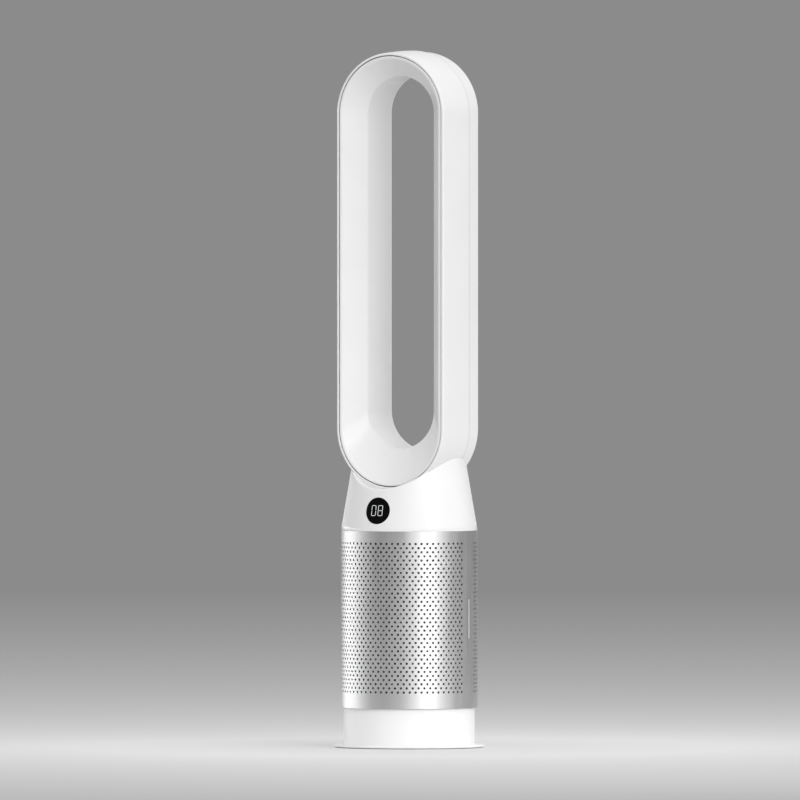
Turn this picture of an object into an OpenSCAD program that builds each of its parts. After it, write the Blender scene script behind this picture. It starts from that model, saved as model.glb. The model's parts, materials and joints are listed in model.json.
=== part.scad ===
// Tower air purifier fan with a bladeless loop.
// Front faces -Y, up is +Z, the origin is on the floor under the turning axis.

/* [Base] */
// Diameter of the base housing
base_d = 197.6; // [170:0.2:220]
// How far the flat base plate stands out past the housing
plate_rim = 14.45; // [12:0.05:20]
// Thickness of the base plate
base_plate_t = 4.2; // [3.8:0.1:5]
// How far the foot ring stands below the base plate
foot_proud = 0.8; // [0.5:0.1:1.5]
// Height of the base housing above the plate
base_h = 55.2; // [52:0.2:70]
// Wall of the base housing
base_wall = 2.6; // [2:0.1:3]

/* [Mains inlet] */
// Width of the figure-eight recess
inlet_w = 14.6; // [14:0.1:15.4]
// Height of the figure-eight recess
inlet_h = 8.6; // [8.2:0.1:9]
// Depth of the recess
inlet_depth = 12; // [10:0.5:13]
// Distance between the two pins
pin_spacing = 8.6; // [8.4:0.1:8.8]
// Diameter of a pin
pin_d = 2.4; // [2.2:0.1:2.6]

/* [Turning drive] */
// Diameter of a bearing ball
ball_d = 7; // [6:0.5:8]
// Distance from the housing's wall in to the circle of the balls
bearing_inset = 20.2; // [18:0.2:24]
// Number of bearing balls
ball_count = 16; // [8:1:24]
// Room between the gears and the bearing round them
gear_room = 10.56; // [8:0.01:12]
// Teeth on the fixed ring gear
ring_teeth = 54; // [48:3:57]
// Teeth on the motor pinion
pinion_teeth = 18; // [17:1:20]
// Width of the gears
gear_w = 7; // [5:0.5:7.5]

/* [Shroud] */
// How far the perforated shroud stands out past the base housing
shroud_overhang = 4.4; // [4:0.1:6]
// Height of the shroud
shroud_h = 266.5; // [260:0.5:290]
// Thickness of the perforated sheet
shroud_t = 1.4; // [1:0.1:1.8]
// Diameter of an intake hole
hole_d = 5.2; // [3:0.1:7]
// Rows of intake holes
hole_rows = 15; // [9:2:19]
// Holes in a full row
hole_columns = 13; // [7:1:15]
// Plain band above the holes
top_band = 18.5; // [16:0.5:24]
// Plain band below the holes
bottom_band = 24.7; // [20:0.1:30]
// Angle left plain beside the seam of the two halves
side_band_angle = 10.7; // [9:0.1:14]

/* [Release buttons] */
// Length of a release button
release_l = 60; // [50:1:70]
// Width of a release button
release_w = 5; // [4:0.1:5.4]
// Travel of a release button
release_travel = 2.5; // [1.5:0.1:3]
// Height of a release button's middle above the turntable
release_mid = 130; // [110:1:150]

/* [Filters] */
// Room between the filters and the shroud
filter_room = 3.5; // [3:0.1:5]
// Radial depth of a filter
filter_depth = 25; // [23:0.5:26]
// Pleats in one filter
pleat_count = 44; // [30:1:60]

/* [Impeller and motor] */
// Room between the impeller's tip and the casing's inside
impeller_room = 4.5; // [3.5:0.1:8]
// Height of the impeller
impeller_h = 32; // [28:1:36]
// Number of impeller blades
blade_count = 9; // [7:1:11]
// Number of diffuser vanes
vane_count = 11; // [9:1:15]
// Radius of the motor as a share of its bucket's
motor_share = 0.75; // [0.65:0.01:0.8]
// Length of the motor
motor_l = 42; // [38:1:46]
// Diameter of the motor shaft
shaft_d = 8; // [6:0.5:8]

/* [Neck] */
// How far the neck's foot lies inside the shroud's face
neck_step = 0.2; // [0:0.1:1]
// Height of the neck in front of the loop
neck_front_h = 62.3; // [58:0.1:70]
// How much the neck's radius shrinks for each millimetre of height
neck_taper_share = 0.17; // [0.1:0.01:0.2]
// Wall of the neck
neck_wall = 2.6; // [2:0.1:3]
// Diameter of the display window
display_d = 40.8; // [36:0.2:44]
// Height of the display's middle above the neck's foot
display_mid = 31; // [28:0.5:34]
// Diameter of the power button
power_d = 14; // [12:0.5:16]
// Travel of the power button
power_travel = 1.5; // [1:0.1:2]

/* [Loop] */
// How far the loop's front rim lies inside the neck's foot
rim_inset = 11; // [9:0.5:14]
// How far the loop's fullest line stands out past its rim
bulge = 3.1; // [2:0.1:5]
// How far the loop's rear corner stands out past its rim
rear_bulge = 0.5; // [0:0.1:1.5]
// Straight length of the loop's sides
loop_straight = 473.4; // [380:0.2:560]
// Depth of the loop in front of the axis
loop_front = 59.7; // [57:0.1:62]
// Depth of the loop behind the axis
loop_back = 53; // [50:0.5:58]
// Radius of the rear outer corner
corner_r = 8; // [6:0.5:9]
// Wall of the loop's outer shell
loop_wall = 2.4; // [2:0.1:3]
// Half width of the loop's opening at its crease, as a share of the rim's
opening_share = 0.62; // [0.58:0.005:0.65]
// Depth of the crease in front of the axis
crease_y = 26; // [22:0.5:30]
// How far the opening's lower arc stands above the rim's lower arc
opening_rise = 26; // [20:0.5:30]
// Wall of the loop's inner shell
inner_wall = 2; // [1.6:0.1:2.4]
// Width of the air slot round the front
slot_w = 0.8; // [0.5:0.1:1.2]

/* [Hidden] */
$fn = 96;

// One overrun for every cut, and the gaps between pieces
overrun = 1;
fit_gap = 0.05;
seat_gap = 0.3;
slide_gap = 0.4;
turn_gap = 0.5;

// Colours as the photograph shows them
white_plastic = [0.95, 0.95, 0.95];
silver_metal = [0.72, 0.72, 0.74];
black_gloss = [0.03, 0.03, 0.04];
dark_plastic = [0.2, 0.2, 0.22];
grey_rubber = [0.28, 0.28, 0.28];
steel = [0.62, 0.63, 0.65];
board_green = [0.1, 0.35, 0.2];
paper_white = [0.93, 0.93, 0.9];

// Levels of the base
foot_t = 2.2;
foot_w = 14;
foot_inset = 8;
plate_z0 = foot_proud;
plate_z1 = plate_z0 + base_plate_t;
base_z1 = plate_z1 + base_h;
base_r = base_d / 2;
base_inner_r = base_r - base_wall;
base_plate_r = base_r + plate_rim;
foot_r = base_plate_r - foot_inset;

// Levels of the turret
turntable_t = 4;
turret_z0 = base_z1 + turn_gap;
turret_z1 = turret_z0 + turntable_t;
shroud_z1 = turret_z0 + shroud_h;
neck_z0 = shroud_z1 + seat_gap;
shroud_r = base_r + shroud_overhang;
shroud_inner_r = shroud_r - shroud_t;
turntable_r = shroud_inner_r - seat_gap;
neck_r = shroud_r - neck_step;
rim_r = neck_r - rim_inset;
loop_z0 = neck_z0 + neck_front_h;
lower_arc_z = loop_z0 + rim_r;
upper_arc_z = lower_arc_z + loop_straight;
opening_arc_z = lower_arc_z + opening_rise;

// Turntable bearing, from the turntable down to the base's deck
race_t = 8;
race_w = 16;
race_gap = 1.6;
groove_gap = 0.25;
cage_t = 0.9;
cage_w = 10;
ball_r = ball_d / 2;
ball_circle_r = base_inner_r - bearing_inset;
ball_z = turret_z0 - race_t - race_gap / 2;
deck_z1 = ball_z - race_gap / 2 - race_t;
deck_t = 3;
deck_z0 = deck_z1 - deck_t;
base_room = deck_z0 - plate_z1;

// Gears
pressure_angle = 20;
addendum_share = 0.95;
dedendum_share = 1.2;
backlash = 0.14;
gear_reach = ball_circle_r - race_w / 2 - gear_room;
gear_module = gear_reach / (ring_teeth / 2 + pinion_teeth + addendum_share);
ring_pitch_r = gear_module * ring_teeth / 2;
pinion_pitch_r = gear_module * pinion_teeth / 2;
gear_distance = ring_pitch_r + pinion_pitch_r;
pinion_direction = 90;
gear_spigot_share = 0.593;
gear_spigot_r = ring_pitch_r * gear_spigot_share;
gear_spigot_h = 3;
cable_hole_share = 0.6;
cable_hole_r = gear_spigot_r * cable_hole_share;
pinion_shaft_r = 2.5;
oscillation_motor_h = 20;
motor_bore_depth = 12;

// Base screws, posts and boards
base_screw_inset = 12.2;
base_screw_circle_r = base_inner_r - base_screw_inset;
screw_count = 4;
screw_turn = 45;
screw_r = 1.5;
screw_head_r = 3.4;
screw_head_h = 1.6;
screw_l = 14;
boss_r = 5;
plate_post_share = 0.4;
plate_post_h = base_room * plate_post_share;
plate_post_r = 4;
power_board_shares = [1, 0.665];
power_board_w = base_inner_r * power_board_shares[0];
power_board_d = base_inner_r * power_board_shares[1];
board_t = 1.6;
board_inset = 6;
power_board_shift_share = -0.229;
power_board_shift = base_inner_r * power_board_shift_share;
coil_w = 30;
coil_h_share = 0.4;
coil_h = base_room * coil_h_share;
capacitor_r = 7;
capacitor_step = 8.4;

// Mains inlet block
inlet_rise_share = 0.6553;
inlet_z = plate_z1 + base_room * inlet_rise_share;
inlet_frame = 6;
inlet_sink = 1.3;
inlet_back_t = 3;
pin_l = 9;

// Control board
control_post_h = 26;
control_post_r = 3;
control_chip_w = 14;
control_chip_h = 3;
cover_h = 46;
cover_t = 2;
cover_gap = 2.4;
board_gap = 8.6;
motor_gap = 1.6;
post_inset = 7;

// Shroud frame
frame_t = 2;
frame_gap = 0.2;
frame_band = 12;
frame_room = 0.6;
frame_z0 = turret_z1 + seat_gap;

// Chassis and filters, from the outside in
chassis_ring_t = 3;
chassis_r = shroud_inner_r - frame_gap - frame_t - frame_room;
filter_r = shroud_inner_r - filter_room;
filter_inner_r = filter_r - filter_depth;
cage_gap = 2.3;
cage_outer_r = filter_inner_r - cage_gap;
cage_t_radial = 3;
cage_inner_r = cage_outer_r - cage_t_radial;
cage_bars = 16;
cage_bar_w = 5;
cage_inset = 0.3;
cage_rings = 4;
cage_ring_h = 5;
column_half = 4.2;
column_r = chassis_r - seat_gap;
casing_gap = 8;
casing_r = cage_inner_r - casing_gap;
plate_hole_r = casing_r;
chassis_plate_t = 5.4;
chassis_z0 = turret_z1;
chassis_z1 = chassis_z0 + chassis_ring_t;
plate_bottom_z = shroud_z1 - chassis_plate_t;

// Chamber over the turntable
cover_r = cage_inner_r - cover_gap;
oscillation_motor_r = cover_r - cover_t - motor_gap - gear_distance;
control_board_r = cover_r - cover_t - board_gap;
control_post_circle_r = control_board_r - post_inset;

// Release buttons in the chassis columns
release_z = turret_z1 + release_mid;
release_flange = 1.6;
release_flange_t = 2.4;
column_lip = 2;
release_spring_room = 11.8;
pocket_depth = column_lip + seat_gap + release_flange_t + release_travel + release_spring_room;
release_spring_r = 1.9;
release_wire = 0.6;
release_turns = 5;

// Filters
filter_gap = 0.6;
filter_z0 = chassis_z1 + slide_gap;
filter_z1 = plate_bottom_z - slide_gap;
filter_cap_h = 6;
filter_end_t = 2.5;
filter_cut = column_half + filter_gap;
carbon_t = 5;
media_t = 1.7;
tab_w = 36;
tab_h = 22;
tab_t = 1.2;

// Strips on the chassis columns, between the two half shells
seam_half = column_half + seat_gap;

// Fan inside
casing_wall = 2;
casing_slant_share = 1.4;
bell_r = 16;
intake_gap = 41.3;
impeller_z0 = turret_z1 + cover_h + intake_gap + bell_r;
impeller_z1 = impeller_z0 + impeller_h;
impeller_r = casing_r - casing_wall - impeller_room;
inlet_share = 0.6;
inlet_r = impeller_r * inlet_share;
bucket_share = 0.673;
bucket_r = impeller_r * bucket_share;
hub_share = 0.25;
hub_r0 = bucket_r * hub_share;
blade_t = 1.6;
tip_gap = 1.2;
blade_sweep = 62;
blade_steps = 7;
sweep_power = 1.4;
flange_t = 3;
flange_w = 6;
bucket_wall = 2;
bucket_gap = 3;
bucket_z0 = impeller_z1 + bucket_gap;
bucket_h = 60;
vane_h = 32;
vane_t = 1.4;
vane_sweep = 24;
vane_steps = 4;
vane_inset = 5;
mount_h = 6;
motor_lift = 5;
motor_z0 = bucket_z0 + bucket_wall + motor_lift;
motor_shell = 2;
motor_r = bucket_r * motor_share;
bearing_share = 0.352;
bearing_r = motor_r * bearing_share;
bearing_t = 5;
shaft_r = shaft_d / 2;
rotor_share = 0.52;
rotor_r = motor_r * rotor_share;
air_gap = 0.6;
stator_slots = 6;
foam_h = 36;
foam_top_share = 0.39;

// Neck, duct and display
neck_angle = atan(neck_taper_share);
neck_flange_t = 3;
neck_flange_w = 12;
neck_screw_inset = 11;
neck_screw_circle_r = neck_r - neck_screw_inset;
neck_screw_l = 8;
duct_top_share = 0.75;
duct_top_r = plate_hole_r * duct_top_share;
duct_wall = 2;
duct_gap = 1.5;
duct_flange_w = 8;
duct_taper_h = 36;
duct_top_h = 8;
seal_t = 3;
collar_r = duct_top_r - seal_t;
collar_wall = 2;
collar_reach = 6;
collar_top_z = lower_arc_z - rim_r / 2;
neck_hole_r = duct_top_r + duct_wall + duct_gap;
lens_t = 2;
lens_gap = 0.15;
display_ring_t = 2.4;
display_ring_h = 6;
display_module_w = 26;
display_module_h = 20;
display_module_t = 4.6;
sensor_w = 22;
sensor_d = 14;
sensor_h = 11;
sensor_inset = 25;
sensor_r = neck_r - sensor_inset;
sensor_direction = 135;
sensor_port_r = 3;
power_flange = 1.6;
power_guide_t = 1.6;
power_stem = 5.8;
power_spring_room = 7.3;
power_guide_l = power_stem - neck_wall + power_travel + power_spring_room;
power_curve_gap = 0.5;
power_spring_r = 4.6;
power_wire = 0.7;
power_turns = 3;

// Loop outline and its steps
bulge_y = 12;
bulge_r = rim_r + bulge;
rear_r = rim_r + rear_bulge;
opening_r = rim_r * opening_share;
lip_w = 3.9;
arc_steps = 40;
front_steps = 5;
rear_steps = 3;
corner_steps = 4;
slot_r = rim_r - lip_w - slot_w;
lip_inset = 10.5;
lip_r = rim_r - lip_inset;
lip_drop = 2.5;
throat_inset = 1.5;
throat_r = opening_r - throat_inset;
throat_y = 5;
tail_step = 0.6;
tail_r = opening_r + tail_step;
tail_y = 44;
tail_round = 1.6;
tail_end_r = tail_r + tail_round;
rear_plate_t = 2.4;
spacer_count = 5;
spacer_t = 2;
spacer_w = 5;
spacer_setback = 9.7;
spacer_y = spacer_setback - loop_front;
spacer_arc_count = 3;

// Rings in each curl of a spring, and sides of its wire
coil_rings = 8;
coil_sides = 6;

// Radius of the neck's outer face at a height
function neck_r_at(z) = neck_r - neck_taper_share * (z - neck_z0);

// Outer radius of the loop at a depth y, full in the middle and drawn in to both faces
function barrel_r(y) =
    let (front_share = (bulge_y - y) / (bulge_y + loop_front))
    let (rear_share = (y - bulge_y) / (loop_back - corner_r - bulge_y))
    y < bulge_y ? bulge_r - (bulge_r - rim_r) * front_share ^ 2
        : bulge_r - (bulge_r - rear_r) * rear_share ^ 2;

// Outline of the loop's outside as [radius, depth], grown by the given distance
function barrel_outline(grow) = concat(
    [for (i = [0:front_steps])
        let (y = -loop_front + (loop_front + bulge_y) * i / front_steps)
        [barrel_r(y) + grow, i == 0 ? y - max(grow, 0) : y]],
    [for (i = [1:rear_steps])
        let (y = bulge_y + (loop_back - corner_r - bulge_y) * i / rear_steps)
        [barrel_r(y) + grow, y]],
    [for (i = [1:corner_steps])
        let (a = 90 * i / corner_steps)
        [rear_r - corner_r + (corner_r + grow) * cos(a),
            loop_back - corner_r + (corner_r + grow) * sin(a)]]
);

// Angle in degrees that an involute has turned at radius r
function involute(base, r) =
    let (stretch = sqrt(max(0, (r / base) ^ 2 - 1)))
    stretch * 180 / PI - acos(min(1, base / r));

// Outline of a spur gear with one tooth centred on +X
function gear_outline(teeth) =
    let (pitch_r = gear_module * teeth / 2)
    let (base = pitch_r * cos(pressure_angle))
    let (tip = pitch_r + gear_module * addendum_share)
    let (root = pitch_r - gear_module * dedendum_share)
    let (low = max(base, root))
    let (half = 90 / teeth - backlash / pitch_r * 90 / PI)
    let (radii = [low, (low + pitch_r) / 2, pitch_r, (pitch_r + tip) / 2, tip])
    let (flank = [for (r = radii) half + involute(base, pitch_r) - involute(base, r)])
    [for (k = [0:teeth - 1])
        let (mid = 360 / teeth * k)
        each concat(
            [root * [cos(mid - flank[0]), sin(mid - flank[0])]],
            [for (i = [0:len(radii) - 1]) radii[i] * [cos(mid - flank[i]), sin(mid - flank[i])]],
            [for (i = [len(radii) - 1:-1:0]) radii[i] * [cos(mid + flank[i]), sin(mid + flank[i])]],
            [root * [cos(mid + flank[0]), sin(mid + flank[0])]])];

// Cross-section of the loop's inner shell once round, as [radius, depth, share of the opening's rise]
function inner_section() =
    let (front = -loop_front)
    let (funnel_share = 0.75)
    let (funnel_r = lip_r + (opening_r - lip_r) * funnel_share)
    let (funnel_y = front + lip_drop + (loop_front - lip_drop - crease_y) * funnel_share)
    [
        [slot_r, front + inner_wall, 0],
        [slot_r - inner_wall / 4, front + inner_wall / 4, 0],
        [slot_r - inner_wall, front, 0],
        [lip_r + inner_wall, front + lip_drop / 2, 0],
        [lip_r, front + lip_drop, 0],
        [funnel_r, funnel_y, funnel_share],
        [opening_r, -crease_y, 1],
        [throat_r + (opening_r - throat_r) / 3, -crease_y / 2, 1],
        [throat_r, throat_y, 1],
        [(throat_r * 2 + tail_r) / 3, (throat_y + tail_y) / 2, 1],
        [tail_r, tail_y, 1],
        [tail_end_r, loop_back, 1],
        [tail_end_r + inner_wall, loop_back - inner_wall / 2, 1],
        [tail_end_r + inner_wall, loop_back - rear_plate_t - inner_wall, 1],
        [tail_r + inner_wall, tail_y - inner_wall, 1],
        [throat_r + inner_wall, throat_y, 1],
        [opening_r + inner_wall, -crease_y + inner_wall, 1],
        [lip_r + inner_wall, front + lip_drop + inner_wall * 1.5, 0],
        [slot_r, front + inner_wall * 2, 0]
    ];

// A point of the section carried round the stadium, at a step of the lower or the upper arc
function loop_point(p, angle, upper) =
    let (centre = upper ? upper_arc_z : lower_arc_z + opening_rise * p[2])
    [p[0] * cos(angle), p[1], centre + p[0] * sin(angle)];

// A closed band swept from rings of points, the last ring joined to the first
module closed_band(rings) {
    n = len(rings[0]);
    m = len(rings);
    polyhedron(
        [for (r = rings) each r],
        [for (i = [0:m - 1]) for (j = [0:n - 1])
            let (i2 = (i + 1) % m)
            let (j2 = (j + 1) % n)
            each [
                [i * n + j, i * n + j2, i2 * n + j2],
                [i * n + j, i2 * n + j2, i2 * n + j]
            ]]
    );
}

// Centre line of a coil spring along +Z, with a straight end at both seats
function coil_angle(i) = 360 * i / coil_rings;
function coil_path(length, r, wire, turns) =
    [for (i = [0:turns * coil_rings])
        [r * cos(coil_angle(i)), r * sin(coil_angle(i)),
            wire * 1.5 + (length - wire * 3) * i / (turns * coil_rings)]];

// One ring of a tube, with its axes radial and along the given direction
function tube_ring(centre, radial, other, wire) =
    [for (k = [0:coil_sides - 1])
        let (a = 360 * k / coil_sides)
        centre + wire / 2 * (cos(a) * radial + sin(a) * other)];

// Least gap between two curls of a coil, measured on its points
function coil_gap(path, wire) =
    min([for (i = [0:len(path) - 1]) for (j = [i + coil_rings - 2:1:len(path) - 1])
        norm(path[i] - path[j])]) - wire;

// A round-wire compression spring that stands on z = 0
module coil_spring(length, r, wire, turns) {
    path = coil_path(length, r, wire, turns);
    last = len(path) - 1;
    curls = [for (i = [0:last])
        tube_ring(path[i], [cos(coil_angle(i)), sin(coil_angle(i)), 0], [0, 0, 1], wire)];
    foot = tube_ring([r, 0, 0], [1, 0, 0], [0, -1, 0], wire);
    foot_top = tube_ring([r, 0, wire], [1, 0, 0], [0, -1, 0], wire);
    head_low = tube_ring([r, 0, length - wire], [1, 0, 0], [0, -1, 0], wire);
    head = tube_ring([r, 0, length], [1, 0, 0], [0, -1, 0], wire);
    rings = concat([foot, foot_top], [for (i = [1:last - 1]) curls[i]], [head_low, head]);
    n = coil_sides;
    m = len(rings);
    echo(spring_least_gap = coil_gap(path, wire));
    polyhedron(
        [for (ring = rings) each ring],
        concat(
            [[for (j = [0:n - 1]) j]],
            [for (i = [0:m - 2]) for (j = [0:n - 1])
                let (j2 = (j + 1) % n)
                each [
                    [i * n + j, (i + 1) * n + j, (i + 1) * n + j2],
                    [i * n + j, (i + 1) * n + j2, i * n + j2]
                ]],
            [[for (j = [n - 1:-1:0]) (m - 1) * n + j]])
    );
}

// A cylinder cleared by a smaller one
module tube(r_out, r_in, h) {
    difference() {
        cylinder(h = h, r = r_out);
        translate([0, 0, -overrun])
            cylinder(h = h + 2 * overrun, r = r_in);
    }
}

// Copies of a piece round the axis
module around(count, radius, turn) {
    for (k = [0:count - 1])
        rotate([0, 0, turn + 360 / count * k])
            translate([radius, 0, 0])
                children();
}

// The half of its children that lies in front of the axis, beyond a distance
module front_half(cut, reach, z0, z1) {
    intersection() {
        children();
        translate([-reach, -reach, z0 - overrun])
            cube([2 * reach, reach - cut, z1 - z0 + 2 * overrun]);
    }
}

// The children at the rear instead of the front
module at_rear() {
    rotate([0, 0, 180])
        children();
}

// A screw with its head at z = 0, pointing up
module screw_up(length) {
    cylinder(h = screw_head_h, r = screw_head_r);
    cylinder(h = length, r = screw_r);
}

module foot_ring() {
    color(grey_rubber)
        tube(foot_r, foot_r - foot_w, foot_t);
}

// Flat disc with a full round rim
module base_plate() {
    rim = base_plate_t / 2;
    flat_r = base_plate_r - rim;
    color(white_plastic)
    difference() {
        union() {
            translate([0, 0, plate_z0])
                cylinder(h = base_plate_t, r = flat_r);
            translate([0, 0, plate_z0 + rim])
                rotate_extrude()
                    translate([flat_r, 0])
                        circle(r = rim);
            translate([0, power_board_shift, plate_z1 - overrun])
                board_corners()
                    cylinder(h = plate_post_h + overrun, r = plate_post_r);
        }
        translate([0, 0, -overrun])
            tube(foot_r + fit_gap, foot_r - foot_w - fit_gap, foot_t + overrun);
        around(screw_count, base_screw_circle_r, screw_turn)
            cylinder(h = plate_z1 + overrun, r = screw_r + fit_gap);
        around(screw_count, base_screw_circle_r, screw_turn)
            cylinder(h = plate_z0 + screw_head_h + fit_gap, r = screw_head_r + fit_gap);
    }
}

// The four corners of the power board
module board_corners() {
    for (x = [-1, 1])
        for (y = [-1, 1])
            translate([x * (power_board_w / 2 - board_inset), y * (power_board_d / 2 - board_inset), 0])
                children();
}

module base_screws() {
    color(steel)
    around(screw_count, base_screw_circle_r, screw_turn)
        translate([0, 0, plate_z0])
            screw_up(screw_l);
}

// White drum with the deck that carries the bearing and the ring gear
module base_housing() {
    color(white_plastic)
    difference() {
        union() {
            translate([0, 0, plate_z1])
                tube(base_r, base_inner_r, base_h);
            translate([0, 0, deck_z0])
                tube(base_inner_r + fit_gap, cable_hole_r, deck_t);
            translate([0, 0, deck_z1 - overrun])
                tube(gear_spigot_r, cable_hole_r, gear_spigot_h + overrun);
            around(screw_count, base_screw_circle_r, screw_turn)
                translate([0, 0, plate_z1])
                    cylinder(h = deck_z0 - plate_z1 + overrun, r = boss_r);
        }
        around(screw_count, base_screw_circle_r, screw_turn)
            cylinder(h = plate_z0 + screw_l + overrun, r = screw_r + fit_gap);
        translate([0, base_r, inlet_z])
            inlet_block(seat_gap);
    }
}

// Outside of the mains inlet's block, grown by a gap
module inlet_block(gap) {
    w = inlet_w + 2 * inlet_frame + 2 * gap;
    h = inlet_h + 2 * inlet_frame + 2 * gap;
    depth = inlet_depth + inlet_back_t;
    translate([-w / 2, -inlet_sink - depth - gap, -h / 2])
        cube([w, depth + gap + (gap > 0 ? inlet_sink + overrun : 0), h]);
}

// Figure-eight recess for the mains lead
module mains_inlet() {
    lobe = inlet_h / 2;
    shift = inlet_w / 2 - lobe;
    color(dark_plastic)
    translate([0, base_r, inlet_z])
    difference() {
        inlet_block(0);
        translate([0, -inlet_sink - inlet_depth, 0])
            rotate([-90, 0, 0]) {
                for (x = [-shift, shift])
                    translate([x, 0, 0])
                        cylinder(h = inlet_depth + overrun, r = lobe);
                translate([-shift, -lobe, 0])
                    cube([2 * shift, inlet_h, inlet_depth + overrun]);
            }
        inlet_pin_places()
            cylinder(h = inlet_back_t + inlet_depth, r = pin_d / 2 + fit_gap);
    }
}

// Both pins' seats, each with +Z pointing out of the recess
module inlet_pin_places() {
    for (x = [-pin_spacing / 2, pin_spacing / 2])
        translate([x, -inlet_sink - inlet_depth - inlet_back_t, 0])
            rotate([-90, 0, 0])
                children();
}

module inlet_pins() {
    color(steel)
    translate([0, base_r, inlet_z])
        inlet_pin_places()
            cylinder(h = inlet_back_t + pin_l, r = pin_d / 2);
}

// Circuit board with its transformer and capacitors
module power_board() {
    color(board_green)
    translate([0, power_board_shift, plate_z1 + plate_post_h]) {
        translate([-power_board_w / 2, -power_board_d / 2, 0])
            cube([power_board_w, power_board_d, board_t]);
        translate([-coil_w, -coil_w / 2, board_t - fit_gap])
            cube([coil_w, coil_w, coil_h]);
        for (k = [1, 3])
            translate([k * capacitor_step, 0, board_t - fit_gap])
                cylinder(h = coil_h, r = capacitor_r);
    }
}

// Fixed gear that the pinion climbs round
module ring_gear() {
    color(dark_plastic)
    translate([0, 0, deck_z1])
    difference() {
        rotate([0, 0, pinion_direction + 180 / ring_teeth])
            linear_extrude(height = gear_w)
                polygon(gear_outline(ring_teeth));
        translate([0, 0, -overrun])
            cylinder(h = gear_w + 2 * overrun, r = gear_spigot_r + fit_gap);
    }
}

// A grooved bearing ring that stands on z = 0, with its groove at the top
module race() {
    difference() {
        tube(ball_circle_r + race_w / 2, ball_circle_r - race_w / 2, race_t);
        translate([0, 0, race_t + race_gap / 2])
            rotate_extrude()
                translate([ball_circle_r, 0])
                    circle(r = ball_r + groove_gap);
    }
}

module lower_race() {
    color(steel)
    translate([0, 0, deck_z1])
        race();
}

module upper_race() {
    color(steel)
    translate([0, 0, turret_z0])
        mirror([0, 0, 1])
            race();
}

module bearing_balls() {
    color(steel)
    translate([0, 0, ball_z])
        around(ball_count, ball_circle_r, 0)
            sphere(r = ball_r);
}

module ball_cage() {
    color(dark_plastic)
    translate([0, 0, ball_z - cage_t / 2])
    difference() {
        tube(ball_circle_r + cage_w / 2, ball_circle_r - cage_w / 2, cage_t);
        translate([0, 0, -overrun])
            around(ball_count, ball_circle_r, 0)
                cylinder(h = cage_t + 2 * overrun, r = ball_r + seat_gap);
    }
}

// Place of the pinion's axis
module at_pinion() {
    rotate([0, 0, pinion_direction])
        translate([gear_distance, 0, 0])
            children();
}

// Turning deck with the posts of the control board
module turntable() {
    color(dark_plastic)
    difference() {
        union() {
            translate([0, 0, turret_z0])
                cylinder(h = turntable_t, r = turntable_r);
            around(screw_count, control_post_circle_r, screw_turn)
                translate([0, 0, turret_z1 - overrun])
                    cylinder(h = control_post_h + overrun, r = control_post_r);
        }
        translate([0, 0, turret_z0 - overrun])
            cylinder(h = turntable_t + 2 * overrun, r = cable_hole_r);
        translate([0, 0, turret_z0 - overrun])
            at_pinion()
                cylinder(h = turntable_t + 2 * overrun, r = pinion_shaft_r + slide_gap);
    }
}

module oscillation_motor() {
    color(steel)
    translate([0, 0, turret_z1])
        at_pinion()
            difference() {
                cylinder(h = oscillation_motor_h, r = oscillation_motor_r);
                translate([0, 0, -overrun])
                    cylinder(h = motor_bore_depth + overrun, r = pinion_shaft_r + fit_gap);
            }
}

module drive_pinion() {
    color(paper_white)
    translate([0, 0, deck_z1 + turn_gap])
        at_pinion()
            difference() {
                rotate([0, 0, 180])
                    linear_extrude(height = gear_w - turn_gap)
                        polygon(gear_outline(pinion_teeth));
                translate([0, 0, -overrun])
                    cylinder(h = gear_w + 2 * overrun, r = pinion_shaft_r);
            }
}

module pinion_shaft() {
    foot_z = deck_z1 + turn_gap;
    color(steel)
    translate([0, 0, foot_z])
        at_pinion()
            cylinder(h = turret_z1 + motor_bore_depth - turn_gap - foot_z, r = pinion_shaft_r);
}

// Round board on its posts, with two chips and a connector
module control_board() {
    color(board_green)
    translate([0, 0, turret_z1 + control_post_h]) {
        cylinder(h = board_t, r = control_board_r);
        for (k = [-1, 1])
            translate([k * control_chip_w - control_chip_w / 2, -control_chip_w / 2, board_t - fit_gap])
                cube([control_chip_w, control_chip_w, control_chip_h]);
    }
}

// Cup over the board and the turning motor
module chamber_cover() {
    color(dark_plastic)
    translate([0, 0, turret_z1])
    difference() {
        cylinder(h = cover_h, r = cover_r);
        translate([0, 0, -overrun])
            cylinder(h = cover_h - cover_t + overrun, r = cover_r - cover_t);
    }
}

// Cage and columns that carry the filters, the shroud and the neck
module chassis() {
    cage_h = plate_bottom_z - chassis_z0;
    color(dark_plastic)
    difference() {
        union() {
            translate([0, 0, chassis_z0])
                tube(chassis_r, cage_inner_r, chassis_ring_t);
            translate([0, 0, plate_bottom_z])
                tube(chassis_r, plate_hole_r, chassis_plate_t);
            for (k = [1:cage_rings])
                translate([0, 0, chassis_z0 + cage_h * k / (cage_rings + 1) - cage_ring_h / 2])
                    tube(cage_outer_r, cage_inner_r, cage_ring_h);
            around(cage_bars, cage_inner_r + cage_inset, 180 / cage_bars)
                translate([0, -cage_bar_w / 2, chassis_z0])
                    cube([cage_t_radial - 2 * cage_inset, cage_bar_w, cage_h + overrun]);
            for (side = [0, 180])
                rotate([0, 0, side])
                    chassis_column(cage_h);
        }
        for (side = [0, 180])
            rotate([0, 0, side])
                release_pocket();
        around(screw_count, neck_screw_circle_r, screw_turn)
            translate([0, 0, plate_bottom_z - overrun])
                cylinder(h = chassis_plate_t + 2 * overrun, r = screw_r + fit_gap);
        around(screw_count, neck_screw_circle_r, screw_turn)
            translate([0, 0, plate_bottom_z - overrun])
                cylinder(h = screw_head_h + overrun, r = screw_head_r + fit_gap);
    }
}

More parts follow.
